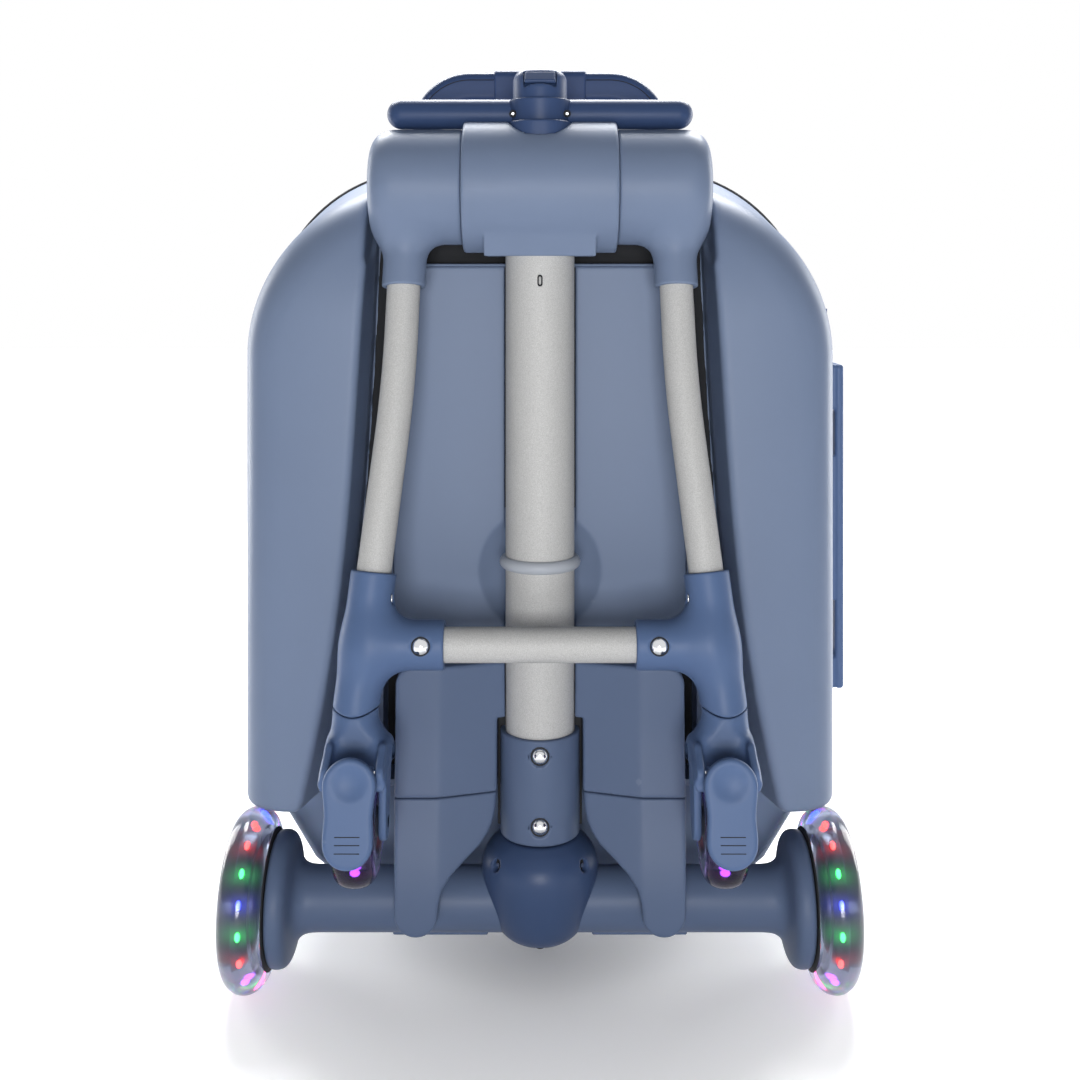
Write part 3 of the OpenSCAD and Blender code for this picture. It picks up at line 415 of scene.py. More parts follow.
def clear_urethane(name, colour, bend):
    """Clear wheel urethane of a colour, which bends light by the given index."""
    surface = grained(name, colour, {"Scale": 60.0}, (0.95, 1.04), (120.0, 0.02, 0.0004))[0]
    plug(surface, {"Transmission Weight": 0.92, "Roughness": 0.15, "IOR": bend})


def lamp_glow(name, colour, strength):
    """A small lamp seen through its clear dome, with a slight sparkle."""
    surface, _, tint = grained(name, colour, {"Scale": 500.0}, (0.85, 1.15))
    plug(surface, {"Emission Color": tint, "Emission Strength": strength, "Roughness": 0.3})


def glow_into(surface, strength):
    """Adds the light that paint_glow paints to a material's shader."""
    layer = add(surface.id_data, "VertexColor", {}, layer_name="glow")
    plug(surface, {"Emission Color": layer.outputs["Color"], "Emission Strength": strength})


def dress(node, finish):
    """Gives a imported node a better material."""
    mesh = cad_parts[node].data
    mesh.materials.clear()
    mesh.materials.append(bpy.data.materials[finish])


LAMP_COLOURS = {
    "red": (1.0, 0.06, 0.05), "green": (0.05, 1.0, 0.14), "blue": (0.05, 0.08, 1.0),
    "violet": (0.42, 0.08, 1.0), "pink": (1.0, 0.10, 0.35)}


def colour_setting(name, what, default):
    """A colour that a user would change."""
    return bpy.props.FloatVectorProperty(
        name=name, description="Colour of the " + what, default=default, subtype="COLOR", size=3,
        min=0, max=1)


class SuitcaseSettings(bpy.types.PropertyGroup):
    """Sizes and colours of the suitcase that a user would change."""

    shell_colour: colour_setting("Shell colour", "case shells", (0.162, 0.210, 0.315))
    # Painted shade: the axle colour is the shell's blue made darker and bluer, standing for the shade on the
    # low parts.
    axle_colour: colour_setting("Axle colour", "saddle, clamps, socket and axle beam", (0.092, 0.128, 0.215))
    joint_colour: colour_setting("Joint colour", "tees, forks, pads and latches", (0.088, 0.140, 0.270))
    handle_colour: colour_setting("Handle colour", "handlebar and the carry handle", (0.036, 0.064, 0.150))
    housing_colour: colour_setting("Housing colour", "steering housing", (0.042, 0.070, 0.150))
    metal_colour: colour_setting("Tube colour", "blasted tubes", (0.51, 0.51, 0.505))
    ring_colour: colour_setting("Ring colour", "ring on the pole", (0.42, 0.45, 0.50))
    lamp_strength: bpy.props.FloatProperty(
        name="Lamp strength", description="Brightness of the lights in the wheels", min=0, default=2.5)
    dish_depth: bpy.props.FloatProperty(
        name="Dish depth", description="Depth of the round dish behind the pole ring", unit="LENGTH",
        min=0.002, max=0.02, default=0.011)
    shell_step: bpy.props.FloatProperty(
        name="Shell step", description="Mesh size of the case shell", unit="LENGTH", min=0.001,
        default=0.002)
    part_step: bpy.props.FloatProperty(
        name="Part step", description="Mesh size of the small moulded parts", unit="LENGTH", min=0.0004,
        default=0.0009)


class MakeFinishes(bpy.types.Operator):
    """Make the plastics, metals, urethane, rubber and lamp finishes"""

    bl_idname = "suitcase.finishes"
    bl_label = "Finishes"

    def execute(self, context):
        look = context.scene.suitcase
        smoother = {"housing": 0.36, "ring": 0.35}
        # The axle plastic is a shaded copy of the shell plastic: painted shade on the saddle, clamps, socket
        # and axle beam.
        for part in ("shell", "axle", "joint", "handle", "housing", "ring"):
            colour = getattr(look, part + "_colour")
            moulded_plastic(part + " plastic", colour, smoother.get(part, 0.42))
        blasted_metal("blasted tube", look.metal_colour)
        polished_steel("rivet steel", (0.68, 0.69, 0.71), 0.14)
        polished_steel("hinge steel", (0.16, 0.17, 0.19), 0.3)
        dark_rubber("seal rubber", (0.012, 0.013, 0.018), 0.6)
        # Painted shade: a near-black matte finish for pieces put where gaps and holes lie in shade.
        dark_rubber("gap shadow", (0.004, 0.005, 0.008), 0.8)
        clear_urethane("clear urethane", (0.30, 0.34, 0.45), 1.38)
        clear_urethane("smoky urethane", (0.08, 0.06, 0.15), 1.2)
        core = plug(polished_steel("wheel core", (0.030, 0.038, 0.062), 0.4), {"Metallic": 0.0})
        glow_into(core, 0.7 * look.lamp_strength)
        for name, tint in LAMP_COLOURS.items():
            lamp_glow("lamp " + name, tint, 3.5 * look.lamp_strength)
        return {"FINISHED"}


# Half widths of the recess at heights, at the lobes' crests and down at its floor
CREST_Z = (60, 119, 140, 160, 207, 250, 330, 378, 422, 440, 500)
CREST_X = (150, 135, 129.5, 125.5, 117.5, 112, 105.6, 102, 100, 98.5, 96)
FLOOR_X = (134, 125.5, 122, 119.5, 113.5, 109.5, 104.3, 100.8, 98.8, 97.5, 95.5)
CREST_FIT = np.polyfit(CREST_Z, CREST_X, 5)
FLOOR_FIT = np.polyfit(CREST_Z, FLOOR_X, 4)
PANEL_HALF = 88.0
PANEL_Z = 303.5
PANEL_TALL = 113.5


def case_field(x, y, z):
    """Near half of the case: arched lobes, the recess between them and the trough for the barrel."""
    ax = np.abs(x)
    draft = (y - 12) / 91
    arch = corner(ax - 172.6 - 3.4 * draft, z - 464.5 - 15.5 * draft, ARCH_R)
    crown = 5.0 * np.clip((ax - 118) / 54, 0, 1) ** 2 + 20.0 * np.clip((z - 385) / 80, 0, 1.3) ** 2
    body = trim(arch, NEAR_Y + crown - y, 24.0)
    body = trim(body, CASE_BOTTOM - z, 5.0)
    depth = np.clip((y - NEAR_Y) / (RECESS_Y - NEAR_Y), -0.3, 1.0)
    half = np.polyval(CREST_FIT, z) * (1 - depth) + np.polyval(FLOOR_FIT, z) * depth
    body = carve(body, trim(ax - half, y - RECESS_Y, 5.0), 5.0)
    gutter = trim(np.abs(ax - half + 5.0) - 5.0, y - RECESS_Y - 15.0, 1.5)
    body = carve(body, trim(gutter, 175 - z, 2.0), 1.0)
    body = carve(body, block((x, y, z), (0, 36, 427), (86, 18, 8), 3.0), 2.5)
    body = carve(body, block((ax, y, z), (88.5, 30, 150), (5.7, 20, 41), 2.0), 1.0)
    dz = z - BARREL_Z
    hollow = np.where(dz < 0, np.hypot(y, dz), y) - BARREL_R - 3.5
    return carve(body, trim(ax - 100.2, hollow, 3.0), 5.0)


def open_at(points, quads, level, half, low, high):
    """Cuts a mesh off beyond a level of Y, and cuts the panel's window through the recess floor."""
    bm = bmesh.new()
    verts = [bm.verts.new(p) for p in points]
    for q in quads:
        bm.faces.new([verts[i] for i in q])
    for place, normal in (((0, level, 0), (0, 1, 0)), ((half, 0, 0), (1, 0, 0)), ((-half, 0, 0), (1, 0, 0)),
                          ((0, 0, low), (0, 0, 1)), ((0, 0, high), (0, 0, 1))):
        bmesh.ops.bisect_plane(bm, geom=bm.verts[:] + bm.edges[:] + bm.faces[:], plane_co=place,
                               plane_no=normal, clear_outer=normal[1] == 1)
    middles = [(f, f.calc_center_median()) for f in bm.faces]
    inside = [f for f, c in middles if abs(c.x) < half and low < c.z < high]
    bmesh.ops.delete(bm, geom=inside, context="FACES")
    bm.verts.index_update()
    out = [tuple(v.co) for v in bm.verts], [tuple(v.index for v in f.verts) for f in bm.faces]
    bm.free()
    return out


def case_ring(y, grow, bottom, low_r):
    """The case's outline at a depth, grown all round, with its bottom edge at a height."""
    plan = rounded(CASE_HALF + grow, bottom, CASE_TOP + grow, low_r, ARCH_R + grow)
    return [(x, y, z) for x, z in plan]


class MakeCase(bpy.types.Operator):
    """Make the near shell, its inset panel, the lid shell and the seal between them"""

    bl_idname = "suitcase.case"
    bl_label = "Case"

    def execute(self, context):
        look = context.scene.suitcase
        step = look.shell_step / MM
        whole = surface_of(case_field, (-178, -16, 103), (178, SEAM_Y + 2 * step, 482), step)
        bottom, top = PANEL_Z - PANEL_TALL, PANEL_Z + PANEL_TALL
        cut = open_at(*whole, SEAM_Y, PANEL_HALF + 0.3, bottom - 0.3, top + 0.3)
        shell = piece("near_shell", cut, "case", ["back_shell"], "shell plastic")
        wall = shell.modifiers.new("wall", "SOLIDIFY")
        wall.thickness = WALL * MM
        wall.offset = -1
        wall.use_even_offset = False
        mesh = bpy.data.meshes.new_from_object(shell.evaluated_get(context.evaluated_depsgraph_get()))
        shell.modifiers.clear()
        shell.data = mesh
        mesh.set_sharp_from_angle(angle=math.radians(50))

        depth = look.dish_depth / MM
        bowl_r = (DISH_R ** 2 + depth ** 2) / (2 * depth)

        def panel_field(x, y, z):
            body = block((x, y, z), (0, 27.0, PANEL_Z), (PANEL_HALF, 2.0, PANEL_TALL), 1.2)
            bowl = np.sqrt(x ** 2 + (z - DISH_Z) ** 2 + (y - RECESS_Y - depth + bowl_r) ** 2) - bowl_r
            body = np.minimum(body, trim(bowl - 2.4, 27.5 - y, 0.5))
            body = carve(body, bowl, 0.9)
            channel = block((np.abs(x), y, z), (CHANNEL_X, 25, PANEL_Z), (2.2, 3.2, 120), 0.4)
            return carve(body, channel, 0.4)

        moulded("inset_panel", panel_field, (-PANEL_HALF, RECESS_Y, bottom), (PANEL_HALF, 29 + depth, top),
                1.0, "case", ["recess_panel"], "shell plastic")

        # Painted shade: near-black strips in the pole's channel, the slot above the panel, the gutters'
        # bottoms and the pockets beside the saddle, where these lie in shade.
        def shade_lining_field(x, y, z):
            ax = np.abs(x)
            low = block((ax, y, z), (CHANNEL_X, 27.6, 193.4), (2.1, 0.5, 3.2), 0.2)
            high = block((ax, y, z), (CHANNEL_X, 27.6, 344.3), (2.1, 0.5, 72.5), 0.2)
            slot = block((x, y, z), (0, 38.0, 426), (84, 1.0, 7.6), 0.4)
            gutter = trim(np.abs(ax - np.polyval(FLOOR_FIT, z) + 5.0) - 4.4, np.abs(y - 40.6) - 0.9, 0.2)
            gutter = trim(trim(gutter, 180 - z, 0.5), z - 432, 0.5)
            beside = block((ax, y, z), (88.5, 48.6, 150), (5.4, 0.8, 40.5), 0.3)
            return np.minimum.reduce([low, high, slot, gutter, beside])

        moulded("painted_shade_lining", shade_lining_field, (-116, 27, 109), (116, 50, 434), 0.9, "case", [], "gap shadow")

        lid_steps = [(LID_Y, 0.0), (120, 0.2), (128, 1.0), (134, 2.4), (140, 4.9), (144.5, 8.2),
                     (147.6, 12.0), (149.3, 16.5), (FAR_Y, 22.0), (FAR_Y, 25.0)]
        inner = [case_ring(y - WALL if y > LID_Y else y, -WALL - d, CASE_BOTTOM + WALL + 0.45 * d, 8)
                 for y, d in lid_steps[::-1]]
        outer = [case_ring(y, -d, CASE_BOTTOM + 0.45 * d, 10) for y, d in lid_steps]
        piece("far_shell", ring_mesh(inner + outer), "lid", ["lid_shell"], "shell plastic", sharp=40)
        bead = [(0, 0.6), (0.5, 1.4), (1.3, 1.8), (2.3, 1.8), (3.1, 1.4), (3.6, 0.6)]
        bead += [(3.6, -WALL), (0, -WALL)]
        seal = [case_ring(SEAM_Y + y, grow, CASE_BOTTOM - min(grow, 1.5), 10 + grow) for y, grow in bead]
        piece("seam_seal", ring_mesh(seal, loop=True), "case", ["seam_gasket"], "seal rubber", sharp=60)
        return {"FINISHED"}


SADDLE_HALF = 82.5
SADDLE_CREASE_X = 57.5
CLAMP_SEAM_Z = 116.5
HALF_GAP = 0.25
NOTCH_HALF = 24.7
NOTCH_TOP = 156.6
NOTCH_Y = 6.0


def saddle_front(x, z):
    """Depth of the saddle's and the clamps' front face, which falls back inside its two creases."""
    heights, depths = (30, 60, 74, 92, CLAMP_SEAM_Z, 150, 188), (-32, -32, -31, -27, -21.95, -17, -14)
    y = sum(np.interp(z + reach, heights, depths) for reach in (-10, -5, 0, 5, 10)) / 5
    inside = SADDLE_CREASE_X - np.abs(x)
    return y + 0.15 * (inside + np.hypot(inside, 2.0))


CLAMP_OUTLINE = (
    [(NOTCH_HALF, 118), (25.3, 108.1), (26.8, 101), (29.2, 95.8), (33.7, 89.6), (42.2, 82.3), (49.5, 75.5),
     (54.5, 68.2), (56.6, 60.0)]
    + arc(69.3, 54.5, 12.2, 180, 360, 20) + [(82, 90), (82.5, 118)])


class MakeSaddle(bpy.types.Operator):
    """Make the creased saddle, its two clamps and the tapered stand behind the axle"""

    bl_idname = "suitcase.saddle"
    bl_label = "Saddle and clamps"

    def execute(self, context):
        def saddle_field(x, y, z):
            ax = np.abs(x)
            face = block((x, 0 * y, z), (0, 0, 130), (SADDLE_HALF, 50, 58), 10.0)
            body = trim(face, saddle_front(x, z) - y, 2.2)
            body = trim(body, y - RECESS_Y, 0.6)
            body = trim(body, CLAMP_SEAM_Z + HALF_GAP - z, 0.9)
            body = carve(body, np.hypot(x, y) - POLE_R - 0.6, 1.0)
            notch = trim(trim(ax - NOTCH_HALF, z - NOTCH_TOP, 1.0), y - NOTCH_Y, 1.0)
            return carve(body, notch, 1.4)

        moulded("axle_saddle_cover", saddle_field, (-SADDLE_HALF, -22.5, 116), (SADDLE_HALF, RECESS_Y, 188),
                1.1, "case", ["axle_saddle"], "axle plastic")

        # Painted shade: a near-black plate in the notch behind the socket, where the gap lies in shade.
        def notch_shade_field(x, y, z):
            return block((x, y, z), (0, NOTCH_Y - 1.0, 123.5), (NOTCH_HALF - 0.1, 0.8, 32.5), 0.3)

        moulded("notch_shade_plate", notch_shade_field, (-25, 4, 90), (25, 6, 157), 0.7, "case", [], "gap shadow")

        def clamp_field(x, y, z):
            body = trim(outline(x, z, CLAMP_OUTLINE), saddle_front(x, z) - y, 2.4)
            back = np.interp(z, (30, 72, 84, 98, CLAMP_SEAM_Z), (-25.6, -25.6, -16, -6, -6))
            return trim(trim(body, y - back, 0.7), z - CLAMP_SEAM_Z + HALF_GAP, 0.9)

        for side, s in SIDES:
            moulded("clamp_cover_" + side, clamp_field, (24, -33, 41), (83, -5, 117), 0.9, "case",
                    ["clamp_" + side], "axle plastic", flip=s < 0)

        heights = (14, 15, 17, 22, 43, 74, 96, CASE_BOTTOM)
        widths = (109, 111.3, 114.5, 121, 143, 160, 163, 163)
        nears = (74.5, 72.8, 71.2, 69, 64, 60, 58, 57)
        fars = (109.6, 111.2, 112, 112, 111, 109, 103, 102)
        rings = []
        for z in np.concatenate([heights[:3], np.linspace(19, CASE_BOTTOM, 22)]):
            half, near, far = (np.interp(z, heights, line) for line in (widths, nears, fars))
            rings.append([(x, y, z) for x, y in rounded(half, near, far, 8.5, 8.5, 6, 6)])
        piece("stand", ring_mesh(rings), "case", ["base_skirt"], "shell plastic", sharp=40)
        foot_line = [(0.01, 0), (13.2, 0), (14.6, 0.5), (15, 1.8), (15, 13.6), (14.4, 14), (0.01, 14)]
        feet = [turned(foot_line, (s * 88, 92, 0), "z", 48) for _, s in SIDES]
        piece("rubber_foot_pair", merge(*feet), "case", ["rubber_feet"], "seal rubber", sharp=32)
        return {"FINISHED"}


class MakeBarrel(bpy.types.Operator):
    """Make the barrel on the pole and the plug that guides the stem"""

    bl_idname = "suitcase.barrel"
    bl_label = "Barrel"

    def execute(self, context):
        def lens(x, y, grow):
            across, along = np.abs(x) / (18.3 + grow), np.abs(y) / (24.4 + grow)
            return ((across ** 2.6 + along ** 2.6) ** (1 / 2.6) - 1) * 19.0

        def barrel_field(x, y, z):
            ring = np.hypot(y, z - BARREL_Z) - BARREL_R
            body = trim(ring, np.abs(x) - BARREL_HALF, 1.8)
            step_front = (np.abs(y) - 20.8 - (z - 423) * 0.45) * 0.9
            low_step = trim(np.maximum(np.abs(x) - 31.8, z - 442), np.maximum(step_front, 423 - z), 0.8)
            body = join(body, low_step, 1.0)
            body = carve(body, trim(lens(x, y, 0.25), 480 - z, 0.5), 0.8)
            return carve(body, np.hypot(x, y) - POLE_R - 0.1, 0.5)

        moulded("barrel_housing", barrel_field, (-44.5, -38.5, 421), (44.5, 38.5, 501.5), 1.0, "case",
                ["barrel"], "shell plastic")

        def plug_field(x, y, z):
            body = trim(trim(lens(x, y, -0.15), z - 500.0, 0.8), 480.2 - z, 0.5)
            body = carve(body, np.hypot(x, y) - 14.1, 0.5)
            return carve(body, np.hypot(y - GRIP_Y, z - GRIP_Z) - 9.4, 0.6)

        moulded("stem_plug", plug_field, (-18.5, -27, 480), (18.5, 27, 500.5), 0.7, "case",
                ["stem_bush"], "handle plastic")
        return {"FINISHED"}


HOUSING_LINE = [
    (8, 26.4), (14.5, 28), (20, 31), (24.2, 35), (27.4, 41), (30, 48), (32.2, 56), (33.4, 63), (33.8, 69),
    (33.4, 74), (31.9, 78.5), (29.6, 82), (26.6, 85.2), (22.5, 88.4)]
BEAM_LINE = [
    (0.01, 154.3), (33, 154.3), (36, 153.4), (37, 151.5), (37, 148), (36, 145), (33, 142.8), (28, 141.5),
    (23, 140), (20, 137.5), (18.5, 134), (18, 129), (18, 120)]
HOUSING_SCREW_TURN = math.radians(51.8)
HOUSING_SCREW_Z = 77.5


class MakeAxle(bpy.types.Operator):
    """Make the steering housing, the axle beam with its flared discs and the small screws"""

    bl_idname = "suitcase.axle"
    bl_label = "Front axle"

    def execute(self, context):
        line_r, line_z = zip(*smooth_line(HOUSING_LINE))

        def housing_field(x, y, z):
            ring = (np.hypot(x, y) - np.interp(z, line_z, line_r)) * 0.93
            body = trim(trim(ring, 26.0 - z, 4.0), z - 88.4, 1.0)
            for _, s in SIDES:
                out = np.array((s * math.sin(HOUSING_SCREW_TURN), -math.cos(HOUSING_SCREW_TURN), 0.0))
                level = (0, 0, HOUSING_SCREW_Z)
                body = carve(body, rod((x, y, z), out * 30.0 + level, out * 44 + level, 3.2), 0.5)
            hole = rod((x, y, z), (0, -15.5, 33.0), (0, -19.5, 20), 2.8)
            return carve(body, hole, 0.5)

        moulded("steering_housing", housing_field, (-34.5, -34.5, 25), (34.5, 34.5, 89), 0.9, "front_axle",
                ["steer_housing"], "housing plastic")
        # Painted shade: near-black rings round the screw heads and a disc in the bottom hole, where these
        # holes lie in shade.
        heads, hole_shades = [], []
        for _, s in SIDES:
            for group, r0, r1, start, end in ((heads, 0.01, 1.3, 28.4, 30.4), (hole_shades, 1.4, 3.1, 28.2, 29.2)):
                disc = turned([(r0, start), (r1, start), (r1, end), (r0, end)], (0, 0, 0), "y", 24)
                turn = (s * HOUSING_SCREW_TURN + math.pi, "Z")
                group.append(placed(disc, turn, at=(0, 0, HOUSING_SCREW_Z)))
        hole_shades.append(turned([(0.01, 30.2), (2.7, 30.2), (2.7, 30.8), (0.01, 30.8)], (0, -16.6, 0), "z", 24))
        piece("housing_screw_heads", merge(*heads), "front_axle", ["housing_screws"], "rivet steel",
              sharp=32)
        shadow("housing_hole_shades", merge(*hole_shades), "front_axle", 32)
        half = smooth_line(BEAM_LINE)
        beam = turned(half + mirrored(half[::-1]), (0, 0, WHEEL_Z), "x", 120)
        piece("axle_beam_cover", beam, "front_axle", ["axle_beam"], "axle plastic", 35)

        def key_field(x, y, z):
            return block((np.abs(x), y, z), (57.5, 0, 33.2), (27.5, 5, 2.6), 1.0)

        moulded("beam_keys", key_field, (-85, -5, 30), (85, 5, 36), 0.8, "front_axle", [], "axle plastic")
        dress("axle_rod", "rivet steel")
        return {"FINISHED"}


WHEEL_X = 167.0
TYRE_LINE = ([(35.1, 155.8)] + [(r, x) for x, r in arc(WHEEL_X, 38, 12, 180, 0, 40)] + [(35.1, 178.2)]
             + [(35.1, 170.4), (37.7, 170.2), (37.7, 163.8), (35.1, 163.6)])
HUB_LINE = ([(4.05, 155.4), (11, 155.4), (12.5, 159), (29, 160), (33, 156.4)]
            + [(34.9, 155.8 + 1.4 * i) for i in range(17)]
            + [(32, 178), (27, 174), (14, 174), (12, 177.6), (8, 178.6), (4.05, 178.8)])
STRIP_LINE = [(35.0, 164), (37.4, 164), (37.6, 164.2), (37.6, 169.8), (37.4, 170), (35.0, 170)]
WHEEL_GAP_SHADE_LINE = [(24, 154.5), (38.4, 154.5), (38.4, 154.9), (24, 154.9)]
LAMP_ORDER = ("blue", "green", "red", "red", "blue", "violet", "green", "red", "blue", "green", "pink",
              "violet", "pink", "violet", "red", "green")
LAMP_RING_R = 39.0
FIRST_LAMP = 20.0


def lamp_places(centre, radius, order, first):
    """Place, colour name and angle of each lamp in a wheel, counted up from the front."""
    places = []
    for i, name in enumerate(order):
        a = math.radians(first) + 2 * math.pi * i / len(order)
        places.append((np.array(centre) + (0, -radius * math.cos(a), radius * math.sin(a)), name, a))
    return places


def lamp_domes(label, side, lamps, size, fine, body):
    """Clear domes over a wheel's lamps, one piece for each colour, with a number of steps over each dome."""
    dome = turned(arc(0, 0, 1.0, -89.9, 89.9, fine), (0, 0, 0), "x", fine + 6)
    for colour in LAMP_COLOURS:
        domes = [placed(dome, (-a - math.pi / 2, "X"), scale=size, at=place)
                 for place, name, a in lamps if name == colour]
        if domes:
            piece(f"{label}_{colour}_{side}", merge(*domes), body, [], "lamp " + colour)


def paint_glow(obj, lamps, reach):
    """Paints the light that lamps throw into clear plastic as a colour attribute."""
    mesh = obj.data
    pts = np.empty(len(mesh.vertices) * 3)
    mesh.vertices.foreach_get("co", pts)
    pts = pts.reshape(-1, 3) / MM - AXLE
    colour = np.zeros((len(pts), 3))
    for place, name, _ in lamps:
        near = np.exp(-((pts - place) ** 2).sum(1) / reach ** 2)
        colour += near[:, None] * np.array(LAMP_COLOURS[name])
    layer = mesh.color_attributes.new("glow", "FLOAT_COLOR", "POINT")
    layer.data.foreach_set("color", np.concatenate([colour, np.ones((len(pts), 1))], 1).ravel())


class MakeFrontWheels(bpy.types.Operator):
    """Make the two large clear wheels with their hubs and rings of lights"""

    bl_idname = "suitcase.front_wheels"
    bl_label = "Front wheels"

    def execute(self, context):
        for side, s in SIDES:
            centre = (s * WHEEL_X, 0, WHEEL_Z)
            lamps = lamp_places(centre, LAMP_RING_R, LAMP_ORDER, FIRST_LAMP)
            body = "front_wheel_" + side

            def ring(line, sides):
                return turned(mirrored(line, s), (0, 0, WHEEL_Z), "x", sides)

            piece("clear_tyre_" + side, ring(TYRE_LINE, 144), body, ["front_tyre_" + side], "clear urethane",
                  sharp=40)
            hub = piece("wheel_hub_" + side, ring(HUB_LINE, 160), body, ["front_hub_" + side], "wheel core",
                        30)
            paint_glow(hub, lamps, 5.0)
            strip = piece("lamp_strip_" + side, ring(STRIP_LINE, 96), body, ["front_leds_" + side],
                          "wheel core")
            paint_glow(strip, lamps, 4.0)
            lamp_domes("lamps", side, lamps, (0.95, 2.5, 1.5), 10, body)
            # Painted shade: a near-black disc between the tyre and the axle's disc, where the gap lies in
            # shade.
            shadow("wheel_gap_shade_" + side, ring(WHEEL_GAP_SHADE_LINE, 96), body)
        return {"FINISHED"}


SOCKET_R = 23.0
SOCKET_LOW = 89.5
SOCKET_TOP = 149.0
SOCKET_RIVETS_Z = (100.2, 140.2)
DOME_LINE = [(0.01, 0.6), (4.5, 0.6), (4.6, 0.2)] + arc(0, 2.4, 5.2, -27, -89.9, 10)
SOCKET_SHADE_LINE = [(4.65, 0.0), (5.4, 0.0), (5.4, -0.25), (4.65, -0.25)]
TEE_SHADE_LINE = [(4.65, 0.0), (5.1, 0.0), (5.1, -0.3), (4.65, -0.3)]
LATCH_SLOT = (-20.02, 409)


class MakePole(bpy.types.Operator):
    """Finish the pole and make its ring, socket, rivets and the latch button in its slot"""

    bl_idname = "suitcase.pole"
    bl_label = "Pole"

    def execute(self, context):
        for node in ("pole_tube", "stem_tube", "crossbar"):
            dress(node, "blasted tube")
        for node in ("hinge_pins", "rear_axles"):
            dress(node, "rivet steel")
        dress("barrel_bracket", "shell plastic")
        ring_line = [(POLE_R, -3.6)] + arc(POLE_R - 0.2, 0, 3.7, -75, 75, 14) + [(POLE_R, 3.6)]
        piece("pole_ring_band", turned(ring_line, (0, 0, 246), "z"), "case", ["pole_ring"], "ring plastic")

        def socket_field(x, y, z):
            ring = np.hypot(x, y) - SOCKET_R
            body = trim(trim(ring, z - SOCKET_TOP, 1.2), SOCKET_LOW - z, 0.8)
            body = join(body, trim(np.hypot(x, y) - 9, 71 - z, 0.5), 0.6)
            body = carve(body, trim(np.hypot(x, y) - POLE_R, 92 - z, 0.3), 0.6)
            for height in SOCKET_RIVETS_Z:
                body = carve(body, trim(np.hypot(x, z - height) - 5.7, y + 21.6, 0.3), 0.5)
            return body

        moulded("pole_socket_cover", socket_field, (-23.2, -23.2, 88), (23.2, 23.2, 149.5), 0.9, "case",
                ["pole_socket"], "axle plastic")
        heads = [turned(DOME_LINE, (0, -21.9, z), "y", 40) for z in SOCKET_RIVETS_Z]
        # Painted shade: near-black rings round the rivet heads, where the recesses round them lie in shade.
        hole_shades = [turned(SOCKET_SHADE_LINE, (0, -21.6, z), "y", 40) for z in SOCKET_RIVETS_Z]
        piece("socket_rivet_heads", merge(*heads), "case", ["socket_rivets"], "rivet steel", sharp=50)
        shadow("socket_rivet_shades", merge(*hole_shades), "case", 50)
        slot_y, slot_z = LATCH_SLOT
        slot = np.array([(x, 0, z) for x, z in arc(0, 1.8, 1.5, 0, 180, 8) + arc(0, -1.8, 1.5, 180, 360, 8)])
        edge, button = slot + (0, slot_y, slot_z), slot * (0.45, 1, 0.7) + (0, slot_y - 0.18, slot_z)
        # Painted shade: a near-black rim round the button, where the slot in the pole lies in shade.
        shadow("pole_slot_shade", ring_mesh([edge, edge + (0, 1.0, 0)]), "case")
        piece("pole_slot_button", ring_mesh([button, button + (0, 1.0, 0)]), "case", [], "blasted tube")
        return {"FINISHED"}


GRIP_Y = 4.0
GRIP_Z = 505.8
COLLAR_LOW = 500.4
COLLAR_TOP = 513.4
HEAD_R = 15.7
HEAD_TOP = 530.7
FACET_PLACE = (-11.4, 526.3)
FACET_LEAN = math.radians(47.0)
COLLAR_SCREW_X = 15.6
COLLAR_SCREW_Z = 504.9


def on_facet(y, z):
    """Distance up the head's slanted facet and distance out of it."""
    dy, dz = y - FACET_PLACE[0], z - FACET_PLACE[1]
    return (dy * math.cos(FACET_LEAN) + dz * math.sin(FACET_LEAN),
            dz * math.cos(FACET_LEAN) - dy * math.sin(FACET_LEAN))


